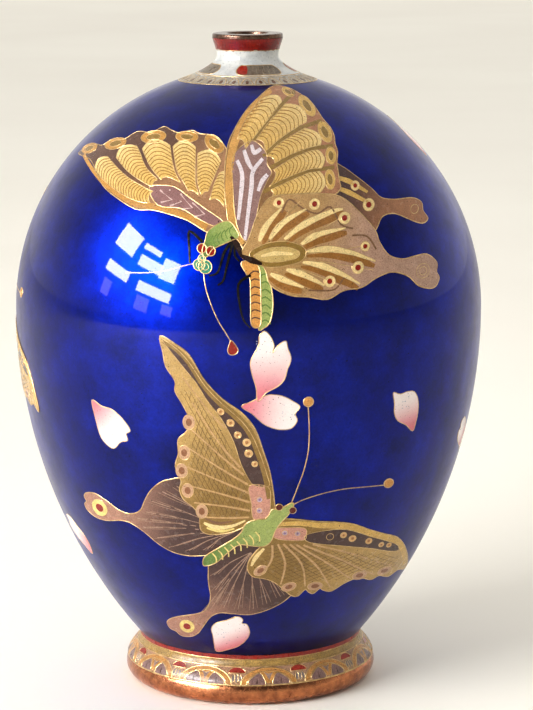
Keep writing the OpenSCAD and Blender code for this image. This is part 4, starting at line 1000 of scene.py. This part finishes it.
def open_butterfly(parts):
    left_tips = [(-15.4, 55.6), (-18.6, 54), (-21, 51.4), (-22.4, 48.6), (-24.4, 46.6), (-29, 46.6),
                 (-23, 44.6), (-20, 42.4), (-16.6, 40.6), (-13, 40), (-9, 40.6)]
    right_tips = [(-7.6, 34), (-7.4, 30), (-7.2, 26.6), (-8.6, 24.4), (-12, 20.6), (-5.6, 25.2),
                  (-2.4, 25), (1, 25), (4, 26.4), (7, 28.2), (7, 30.6)]
    open_hindwing(parts["hindwing_left"], OPEN_HINDWING_LEFT, (-3, 45), left_tips, (-14, 46), (-31, 48),
                  TAIL_EYES[0])
    open_hindwing(parts["hindwing_right"], OPEN_HINDWING_RIGHT, (0.5, 40), right_tips, (-3, 34), (-13, 20),
                  TAIL_EYES[1])
    open_forewing(parts["forewing_left"], OPEN_LEFT)
    open_forewing(parts["forewing_right"], OPEN_RIGHT)
    parts["forewing_right"].ring((17.8, 42.9), 0.8, 0.8, 1)
    body = parts["body"].at(5)
    body.cell(OPEN_BODY, toward(GREEN, GREEN_DARK, (4, 47), (-9, 38)))
    for i in range(8):
        x, z = -7.4 + i * 1.35, 38.6 + i * 0.78
        body.strip([(x - 0.5, z + 1.2), (x + 0.3, z + 0.1), (x + 0.4, z - 1.2)], 0.28, YELLOW, 1)
    for at, r in OPEN_EYES:
        parts["eyes"].at(5).bead(at, r * 0.8, r * 0.8, tone("5a1a14"), 2)
    for at in OPEN_CLUBS:
        parts["clubs"].at(1).bead(at, 1.05, 1.05, ORANGE, 0, 0, 0.25)
    for line in OPEN_FEELERS:
        body.at(0).line(line, 0, FEELER_W)


# ---- Petals ----
PETALS = [PETAL_1, PETAL_2, PETAL_3, PETAL_4, PETAL_5, LOOSE_PETAL, LOOSE_PETAL]
PETAL_PLACES = [FRONT] * 5 + [Place(-62, 0, 1), Place(84, 89, -1)]
BACK_PETAL_PLACES = [Place(78, 22, 1), Place(118, 4, -1), Place(176, -4, 1), Place(-138, -2, -1),
                     Place(150, 86, 1), Place(-168, 88, -1)]
# For each petal, its notched white end and its pointed pink end
PETAL_ENDS = [((3.7, 90), (2.4, 76)), ((11, 73), (-1, 74.2)), ((34, 74.8), (36, 66)), ((-7, 19), (-4, 13)),
              ((-26, 66), (-33.6, 73)), ((-6.6, 41), (1, 34)), ((-6.6, 41), (1, 34))]


def petal(cells, outline, white_end, pink_end):
    white_end, pink_end = np.array(white_end, float), np.array(pink_end, float)
    blush = toward(WHITE, PINK, white_end + 0.1 * (pink_end - white_end), pink_end)
    cells.cell(outline, blush, 0, 0.2, 4, 0.7)
    ahead = (pink_end - white_end) / np.linalg.norm(pink_end - white_end)
    across = np.array([-ahead[1], ahead[0]])
    for _ in range(7):
        at = white_end + ahead * random.uniform(1.2, 4) + across * random.uniform(-1.6, 1.6)
        cells.dot(at, random.uniform(0.08, 0.2), random.uniform(0.06, 0.12), FLECK, 1, 0, 8)


def build_petals(petal_mat, wire_mat):
    wires = Wires(FRONT)
    for i, (outline, place) in enumerate(zip(PETALS, PETAL_PLACES)):
        cells = Cells(place, Wires(place)).at(1 if i == 0 else 0)
        petal(cells, outline, *PETAL_ENDS[i])
        cells.build("petal_%d_glass" % (i + 1), petal_mat, "petal_enamel", "petal_%d" % (i + 1))
        joined(wires, cells.wires)
    back = Cells(FRONT)
    for place in BACK_PETAL_PLACES:
        cells = Cells(place, Wires(place)).at(0)
        petal(cells, LOOSE_PETAL, *PETAL_ENDS[5])
        joined(back, cells)
        joined(wires, cells.wires)
    back.build("back_petals_glass", petal_mat, "petal_enamel", "back_petals")
    wires.build("petal_wires_gilt", wire_mat, "petal_wires")


def joined(into, other):
    """Adds one collection's mesh to another's"""
    start = len(into.verts)
    into.verts.extend(other.verts)
    into.faces.extend(tuple(start + i for i in f) for f in other.faces)
    if hasattr(into, "colours"):
        into.colours.extend(other.colours)
        into.normals.extend(other.normals)


# ---- The turned surfaces ----
BAND_GRID = 0.5
FANS = 12


def body_profile(depth=0.0, steps=110):
    top = math.asin((COLLAR_Z - BELLY_Z) / UPPER_R)
    foot = -math.asin((BELLY_Z - FOOT_H) / LOWER_R)
    points = []
    for i in range(steps + 1):
        a = foot + (top - foot) * i / steps
        r = LOWER_R if a < 0 else UPPER_R
        points.append((BODY_R - r + (r - depth) * math.cos(a), BELLY_Z + (r - depth) * math.sin(a)))
    return points


def bezier(a, b, c, d, t):
    a, b, c, d = (np.array(p, float) for p in (a, b, c, d))
    return (1 - t) ** 3 * a + 3 * t * (1 - t) ** 2 * b + 3 * t * t * (1 - t) * c + t ** 3 * d


def neck_profile():
    slope = math.asin((COLLAR_Z - BELLY_Z) / UPPER_R)
    start = np.array([COLLAR_R, COLLAR_Z])
    aim = start + 0.66 * (COLLAR_R - NECK_R) * np.array([-1, 1 / math.tan(slope)])
    waist = (NECK_R, WAIST_Z)
    lower = [bezier(start, aim, (NECK_R, WAIST_Z - 1.5), waist, i / 28) for i in range(28)]
    upper = [bezier(waist, (NECK_R, WAIST_Z + 1.4), (LIP_R - 0.25, LIP_Z - 1.1), (LIP_R, LIP_Z), i / 16)
             for i in range(17)]
    return [tuple(p) for p in lower + upper]


def foot_profile(steps=30):
    points = []
    for i in range(steps + 1):
        z = MOULDING_H + (FOOT_H - MOULDING_H) * i / steps
        t = min(1, (z - MOULDING_H) / (SAND_TOP + 0.2 - MOULDING_H))
        inner = WAIST_R - 0.3
        points.append((inner + (MOULDING_R - 0.3 - inner) * (1 + math.cos(math.pi * t)) / 2, z))
    return points


def between_heights(profile, z0, z1, depth=1.0):
    """A closed ring's section: part of a profile, with a back at some depth under it"""
    r, z = np.array(profile).T
    at = np.linspace(z0, z1, 16)
    front = [(float(np.interp(h, z, r)), float(h)) for h in at]
    return front + [(p[0] - depth, p[1]) for p in reversed(front)]


def ragged_ring(cells, z0, z1, lift, colour, low=0.0, high=0.0, count=240):
    """A band of enamel right round, whose edges wander a little"""
    def wander(amount):
        waves = [(random.uniform(0.4, 1), k, random.uniform(0, 6.3)) for k in (5, 9, 14, 23, 31, 47)]
        total = sum(w[0] for w in waves)
        return [amount * sum(w * math.sin(k * 2 * math.pi * i / count + p) for w, k, p in waves) / total
                for i in range(count)]
    low_edge, high_edge = wander(low), wander(high)
    rows = 5
    base = len(cells.verts)
    for i in range(count):
        heights = np.linspace(z0 + low_edge[i], z1 + high_edge[i], rows)
        flat = cells.place.unroll([(360 * i / count, h) for h in heights])
        p, n = cells.place.roll(flat, np.full(rows, lift))
        cells.verts.extend(p)
        cells.normals.extend(n)
        cells.colours.extend([colour] * rows)
    for i in range(count):
        j = (i + 1) % count
        for k in range(rows - 1):
            cells.faces.append((base + i * rows + k, base + j * rows + k,
                                base + j * rows + k + 1, base + i * rows + k + 1))


def hoops(cells, *rings):
    """Wires right round, at each height and width"""
    for z, width in rings:
        cells.line([(a, z) for a in range(0, 360, 3)], 0.05, width, 1, True)


def build_body(mats):
    front = body_profile()
    ground = revolve("ground_glass", front + body_profile(1.0)[::-1], mats["blue"], 384, sharp=40)
    keep(ground, "blue_enamel", "ground_enamel")


def collar_border(border, arches=30):
    """The taupe border, with a wire arch and a dark seed in each scallop"""
    ragged_ring(border, COLLAR_Z, BORDER_Z, 0.03, tone("b0a798"), 0, 0.2)
    half = 150 / arches
    for i in range(arches):
        a = 360 * i / arches
        rise = [(-1, 0.15), (-0.7, 0.9), (0, 1.25), (0.7, 0.9), (1, 0.15)]
        border.line([(a + half * k, COLLAR_Z + h) for k, h in rise], 0.04, 0.22)
        border.dot((a, COLLAR_Z + 0.55), 1.6, 0.3, tone("6e4a34"), 0.05)


def collar_panel(panels, ends, a):
    """A long taupe panel with one red end and pale grains"""
    low, high, mid = BORDER_Z + 0.35, BORDER_Z + 2.3, BORDER_Z + 1.3
    outline = [(a - 31, mid), (a - 27, low + 0.15), (a - 18, low), (a, low), (a + 20, low),
               (a + 28, low + 0.2), (a + 31, mid), (a + 27, high - 0.15), (a + 18, high), (a, high),
               (a - 18, high), (a - 27, high - 0.1)]
    panels.cell(outline, tone("74685a"), 0.05, 0.24, 4, BAND_GRID)
    end = [(a - 30, mid), (a - 26.5, low + 0.25), (a - 18, low + 0.15), (a - 16, mid),
           (a - 18, high - 0.15), (a - 26.5, high - 0.2)]
    ends.add(end, tone("9c2414"), 0.07, 4, BAND_GRID)
    for k in range(9):
        panels.dot((a - 8 + k * 4, mid + 0.4 * (-1) ** k), 1.3, 0.22, tone("a3937c"), 0.065, 30, 10)


def build_neck(mats):
    profile = neck_profile()
    collar = revolve("collar_glass", between_heights(profile, COLLAR_Z, RED_Z + 0.1), mats["white"], 192,
                     sharp=40)
    keep(collar, "white_enamel", "collar_enamel")
    neck = Band(profile)
    wires = Wires(neck)
    border, red, panels, ends = (Cells(neck, wires) for _ in range(4))
    collar_border(border)
    ragged_ring(red, RED_Z, LIP_Z, 0.05, tone("8c1206"), 0.4, 0)
    for i in range(4):
        collar_panel(panels, ends, 16 + 90 * i)
    border.build("collar_border_glass", mats["bands"], "taupe_enamel", "collar_border")
    red.build("neck_red_glass", mats["red_band"], "red_enamel", "neck_band")
    panels.build("collar_panels_glass", mats["bands"], "taupe_enamel", "collar_cartouches")
    ends.build("collar_panel_ends_glass", mats["bands"], "red_enamel", "cartouche_ends")
    hoops(border, (COLLAR_Z + 0.06, 0.3), (BORDER_Z + 0.1, 0.28), (RED_Z, 0.12))
    wires.build("collar_wires_gilt", mats["wire"], "collar_wires")


def fan(arches, windows, a, half, top):
    """One fan of the foot: an orange arch, with two windows and a vee in it"""
    low = MOULDING_H + 0.35
    high = top - low
    turn = np.linspace(0, math.pi, 15)
    arc = [(a + half * math.cos(t), low + high * math.sin(t)) for t in turn]
    arches.add(arc, ORANGE, 0.04, 1, BAND_GRID)
    arches.line(arc, 0.04, OUTLINE_W, 1)
    inner = [(a + half * 0.8 * math.cos(t), low + high * 0.78 * math.sin(t))
             for t in np.linspace(0, math.pi, 13)]
    arches.line(inner, 0.045, 0.2, 1)
    for side in (-1, 1):
        c = a + side * half * 0.43
        w = half * 0.3
        tip = (a + side * half * 0.36 - side * 0.2, low + high * 0.68)
        window = [(c - w, low), (c - w * 0.95, low + 0.9), tip, (c + w * 0.95, low + 0.9), (c + w, low)]
        windows.add(window, MAUVE, 0.055, 3, BAND_GRID)
        windows.line(window, 0.055, 0.22, 3)
        windows.strip([(c, low + 0.2), (c, low + 1.3)], (0.9, 0.3), tone("5e4038"), 0.07, 2)
    vee = [(a, low + 0.3), (a + half * 0.16, low + high * 0.7), (a, low + high * 0.62),
           (a - half * 0.16, low + high * 0.7)]
    windows.cell(vee, tone("a08478"), 0.055, 0.2, 1, BAND_GRID)


def between_fans(frieze, caps, gap):
    """A red cap over three grey drops"""
    turn = np.linspace(0, math.pi, 11)
    arc = [(gap + 4.2 * math.cos(t), FANS_TOP - 1.3 + 1.15 * math.sin(t)) for t in turn]
    caps.cell(arc, tone("a02a18"), 0.06, 0.22, 1, 0.4)
    for k in (-1, 0, 1):
        x = gap + k * 1.6
        drop = [(x, MOULDING_H + 0.6 + abs(k) * 0.2), (x + 0.9, MOULDING_H + 1.6),
                (gap + k * 1.2, FANS_TOP - 1.45), (x - 0.9, MOULDING_H + 1.6)]
        frieze.cell(drop, tone("93827c"), 0.03, 0.14, 3, 0.4)


def build_foot(mats):
    foot = Band(foot_profile())
    wires = Wires(foot)
    frieze, sand, red, arches, windows, caps = (Cells(foot, wires) for _ in range(6))
    ragged_ring(frieze, MOULDING_H, FANS_TOP, 0.0, tone("b58a6a"))
    ragged_ring(sand, FANS_TOP - 0.1, SAND_TOP + 0.3, 0.01, tone("b4904e"))
    ragged_ring(red, SAND_TOP + 0.2, FOOT_H - 0.1, 0.05, tone("9c2214"), 0.3, 0.25)
    step = 360 / FANS
    for i in range(FANS):
        a = 9 + i * step
        fan(arches, windows, a, step * 0.43, FANS_TOP - 0.2)
        between_fans(frieze, caps, a + step / 2)
    for cells, name, mat, slot, cad in (
            (frieze, "frieze", "bands", "mauve", "frieze"), (sand, "sand", "sand", "sand", "sand_band"),
            (red, "red", "bands", "red", "red_line"), (arches, "arches", "bands", "orange", "fans"),
            (windows, "windows", "bands", "mauve", "windows"), (caps, "caps", "bands", "red", "caps")):
        cells.build("foot_%s_glass" % name, mats[mat], slot + "_enamel", "foot_" + cad)
    hoops(arches, (MOULDING_H + 0.15, 0.4), (FANS_TOP - 0.05, 0.26), (SAND_TOP + 0.2, 0.2))
    wires.build("foot_wires_gilt", mats["wire"], "foot_wires")


def build_metal(mats):
    round_r = 3.2
    turn = np.linspace(-math.pi / 2, math.acos(1) + math.asin((MOULDING_H - round_r) / round_r), 22)
    bead = [(MOULDING_R - round_r + round_r * math.cos(t), round_r + round_r * math.sin(t)) for t in turn]
    inner_wall = [(p[0] - 1.0, p[1]) for p in foot_profile(12)]
    skirt = WAIST_R - 0.3 - 1.9
    ring = [(RECESS_R, 0.3), (RECESS_R + 0.3, 0)] + bead + inner_wall
    ring += [(skirt, FOOT_H), (skirt, RECESS_TOP + 0.4), (RECESS_R, RECESS_TOP + 0.4)]
    keep(revolve("foot_ring_copper", ring, mats["copper"], 240, sharp=35), "copper", "foot_ring")
    soft = 0.4
    rim = [(LIP_R - soft + soft * math.cos(t), VASE_H - soft + soft * math.sin(t))
           for t in np.linspace(0, math.pi / 2, 8)]
    inner = [(MOUTH_R + 0.2 - 0.2 * math.sin(t), VASE_H - 0.2 + 0.2 * math.cos(t))
             for t in np.linspace(0, math.pi / 2, 5)]
    lip = [(LIP_R - 0.06, LIP_Z), (LIP_R, LIP_Z + 0.06)] + rim + inner
    lip += [(MOUTH_R, VASE_H - 3), (MOUTH_R + 0.4, VASE_H - 3), (MOUTH_R + 0.4, LIP_Z)]
    keep(revolve("mouth_ring_bronze", lip, mats["bronze"], 192, sharp=40), "bronze_lip", "mouth_ring")


# ---- Figures ----
SIDE_PARTS = {
    "forewing_left": "cream_enamel", "forewing_right": "cream_enamel", "hindwing_near": "tan_enamel",
    "hindwing_far": "tan_enamel", "thorax": "green_enamel", "eyes": "red_enamel",
    "proboscis": "teal_enamel", "abdomen_back": "green_enamel", "abdomen_belly": "orange_enamel",
    "antenna_drop": "red_enamel"
}
OPEN_PARTS = {
    "forewing_left": "khaki_enamel", "forewing_right": "khaki_enamel", "hindwing_left": "dusk_enamel",
    "hindwing_right": "dusk_enamel", "body": "green_enamel", "eyes": "red_enamel", "clubs": "orange_enamel"
}
BACK_GROUPS = {"forewings": ("forewing_left", "forewing_right"),
               "hindwings": ("hindwing_near", "hindwing_far", "hindwing_left", "hindwing_right")}


def front_figure(prefix, kinds, draw, glass, wire_mat):
    wires = Wires(FRONT)
    parts = {name: Cells(FRONT, wires) for name in kinds}
    draw(parts)
    extra = {"side_hindwing_near": ("side_spots",), "open_forewing_left": ("open_spots",)}
    for name, slot in kinds.items():
        cad = prefix + "_" + name
        parts[name].build(cad + "_glass", glass, slot, cad, *extra.get(cad, ()))
    wires.build(prefix + "_wires_gilt", wire_mat, prefix + "_wires")


def back_figure(prefix, kinds, draw, place, slots, glass, wire_mat):
    """The same drawing at the back, with its parts in three pieces"""
    wires = Wires(place)
    groups = {name: Cells(place, wires) for name in ("forewings", "hindwings", "body")}
    parts = {}
    for name in kinds:
        home = next((g for g, members in BACK_GROUPS.items() if name in members), "body")
        parts[name] = groups[home]
    draw(parts)
    for name, slot in slots.items():
        groups[name].build("%s_%s_glass" % (prefix, name), glass, slot, "%s_%s" % (prefix, name))
    wires.build(prefix + "_wires_gilt", wire_mat, prefix + "_wires")


# ---- Light, floor and camera ----
def area_light(name, azimuth, elevation, distance, size, watts, colour, aim=(0, 0, 0.08), tall=None):
    data = bpy.data.lights.new(name, "AREA")
    data.shape = "RECTANGLE"
    data.size = size
    data.size_y = tall or size
    data.energy = watts
    data.color = colour
    light = bpy.data.objects.new(name, data)
    a, e = math.radians(azimuth), math.radians(elevation)
    away = Vector((math.sin(a) * math.cos(e), -math.cos(a) * math.cos(e), math.sin(e))) * distance
    light.location = away + Vector(aim)
    light.rotation_euler = (-away).to_track_quat("-Z", "Y").to_euler()
    bpy.context.scene.collection.objects.link(light)
    return light


# The window's panes, as [degrees to the left, elevation, width, height] seen from the vase,
# and the dimmer panes under them
PANES = [(68.3, 29.7, 12.5, 9), (68.3, 17.2, 14, 4.2), (52, 29.2, 10, 2.4), (51, 23, 13, 4.6),
         (40, 22, 8.4, 9), (46.5, 12.2, 18, 4.4)]
DIM_PANES = [(73, 10, 5, 6), (52, 6.6, 7, 6), (39, 5, 5.5, 4.4)]
PANE_DISTANCE = 1.3
PANE_TILT = -12
WINDOW_LIGHT = 260.0
DIM_LIGHT = 50.0


def window_pane(name, pane, power, colour):
    left, elevation, width, height = pane
    across, tall = (2 * PANE_DISTANCE * math.tan(math.radians(a / 2)) for a in (width, height))
    watts = power * across * tall
    light = area_light(name, -left, elevation, PANE_DISTANCE, across, watts, colour, tall=tall)
    light.rotation_euler.rotate_axis("Z", math.radians(PANE_TILT))
    light.visible_diffuse = False


def build_lights():
    for i, pane in enumerate(PANES):
        window_pane("pane_%d" % i, pane, WINDOW_LIGHT, (0.97, 0.98, 1.0))
    for i, pane in enumerate(DIM_PANES):
        window_pane("dim_pane_%d" % i, pane, DIM_LIGHT, (0.55, 0.45, 1.0))
    area_light("top_soft", 30, 70, 2.4, 3.0, 12, (1, 0.98, 0.95))
    for soft in (area_light("window_soft", -53, 24, 1.3, 0.9, 22, (1, 0.98, 0.94), tall=0.5),
                 area_light("far_soft", 180, 50, 3.6, 5.0, 55, (1, 0.97, 0.9), aim=(0, 2, 0))):
        soft.visible_glossy = False


def build_world():
    """Pale all round, pale near the horizon, and darker on the viewer's side of the room"""
    world = bpy.data.worlds.new("studio")
    bpy.context.scene.world = world
    world.use_nodes = True
    tree = world.node_tree
    coord = tree.nodes.new("ShaderNodeTexCoord")
    split = tree.nodes.new("ShaderNodeSeparateXYZ")
    tree.links.new(coord.outputs["Generated"], split.inputs[0])
    depth = node(tree, "MapRange", From_Min=-0.9, From_Max=0.4, To_Min=0.05, To_Max=0.8)
    tree.links.new(split.outputs["Y"], depth.inputs["Value"])
    height = node(tree, "MapRange", From_Min=0.0, From_Max=0.45, To_Min=0.5, To_Max=0.0,
                  interpolation_type="SMOOTHSTEP")
    tree.links.new(split.outputs["Z"], height.inputs["Value"])
    total = node(tree, "Math", operation="ADD")
    tree.links.new(depth.outputs[0], total.inputs[0])
    tree.links.new(height.outputs[0], total.inputs[1])
    background = tree.nodes["Background"]
    background.inputs["Color"].default_value = (1.0, 0.97, 0.9, 1)
    tree.links.new(total.outputs[0], background.inputs["Strength"])


def build_floor():
    mat, tree, bsdf = shader("floor_paper", 0.7)
    paper = ramp(tree, noise(tree, 300, 3, 0.5), (0.3, tone("f6f2ea")), (0.7, tone("fbf8f0")))
    tree.links.new(paper, bsdf.inputs["Base Color"])
    rim = [(r * 1000, -0.01) for r in (0.001, 0.2, 0.6, 1.5, 4, 9)]
    floor = revolve("floor", rim[::-1], mat, 64, closed=False)


LENS = 138
CAMERA_AT = (0.00443, -0.620, 0.1906)
CAMERA_DOWN, CAMERA_ROLL = 10.50, 0.186


def build_camera():
    data = bpy.data.cameras.new("camera")
    data.lens = LENS
    camera = bpy.data.objects.new("camera", data)
    camera.location = CAMERA_AT
    camera.rotation_euler = (math.radians(90 - CAMERA_DOWN), math.radians(CAMERA_ROLL), 0)
    bpy.context.scene.collection.objects.link(camera)
    bpy.context.scene.camera = camera


def finish_cad_nodes(mats):
    """Materials for the CAD nodes that stay"""
    for name, mat in (("copper_body", "copper"), ("base_disc", "copper"), ("lining_enamel", "lining"),
                      ("base_enamel", "lining")):
        mesh = frame["nodes"][name].data
        mesh.materials.clear()
        mesh.materials.append(mats[mat])


def build_all():
    mats = {
        "blue": ground_blue(),
        "glass": enamel("cell_enamel"),
        "petal": enamel("petal_enamel", 0.14, 0.06),
        "bands": enamel("band_enamel", 0.28, 0.4),
        "sand": enamel("sand_enamel", 0.3, 0.45),
        "red_band": enamel("red_band_enamel", 0.2, 0.5),
        "white": plain_enamel("white_enamel", tone("d0d1ce"), tone("a6abae"), tone("737c86"), 0.3, 0.35),
        "lining": plain_enamel("lining_enamel", tone("9fb4c4"), tone("7d95ac"), tone("5a6f88"), 0.35),
        "wire": metal("gilt_wire", tone("d6b680"), tone("98774c"), 0.32, 1.5),
        "copper": metal("foot_copper", tone("c87f52"), tone("5c3024"), 0.2, 2.5, 0.9),
        "bronze": metal("lip_bronze", tone("745848"), tone("281c18"), 0.22, 1.2, 0.9),
    }
    build_body(mats)
    build_neck(mats)
    build_foot(mats)
    build_metal(mats)
    front_figure("side", SIDE_PARTS, side_butterfly, mats["glass"], mats["wire"])
    front_figure("open", OPEN_PARTS, open_butterfly, mats["glass"], mats["wire"])
    back_figure("back_side", SIDE_PARTS, side_butterfly, Place(146, -30, -1),
                {"forewings": "cream_enamel", "hindwings": "tan_enamel", "body": "green_enamel"},
                mats["glass"], mats["wire"])
    back_figure("back_open", OPEN_PARTS, open_butterfly, Place(-109, 39, 1),
                {"forewings": "cream_enamel", "hindwings": "dusk_enamel", "body": "green_enamel"},
                mats["glass"], mats["wire"])
    build_petals(mats["petal"], mats["wire"])
    finish_cad_nodes(mats)


bpy.context.scene.view_settings.view_transform = "Standard"
build_camera()
build_all()
build_lights()
build_world()
build_floor()
import json
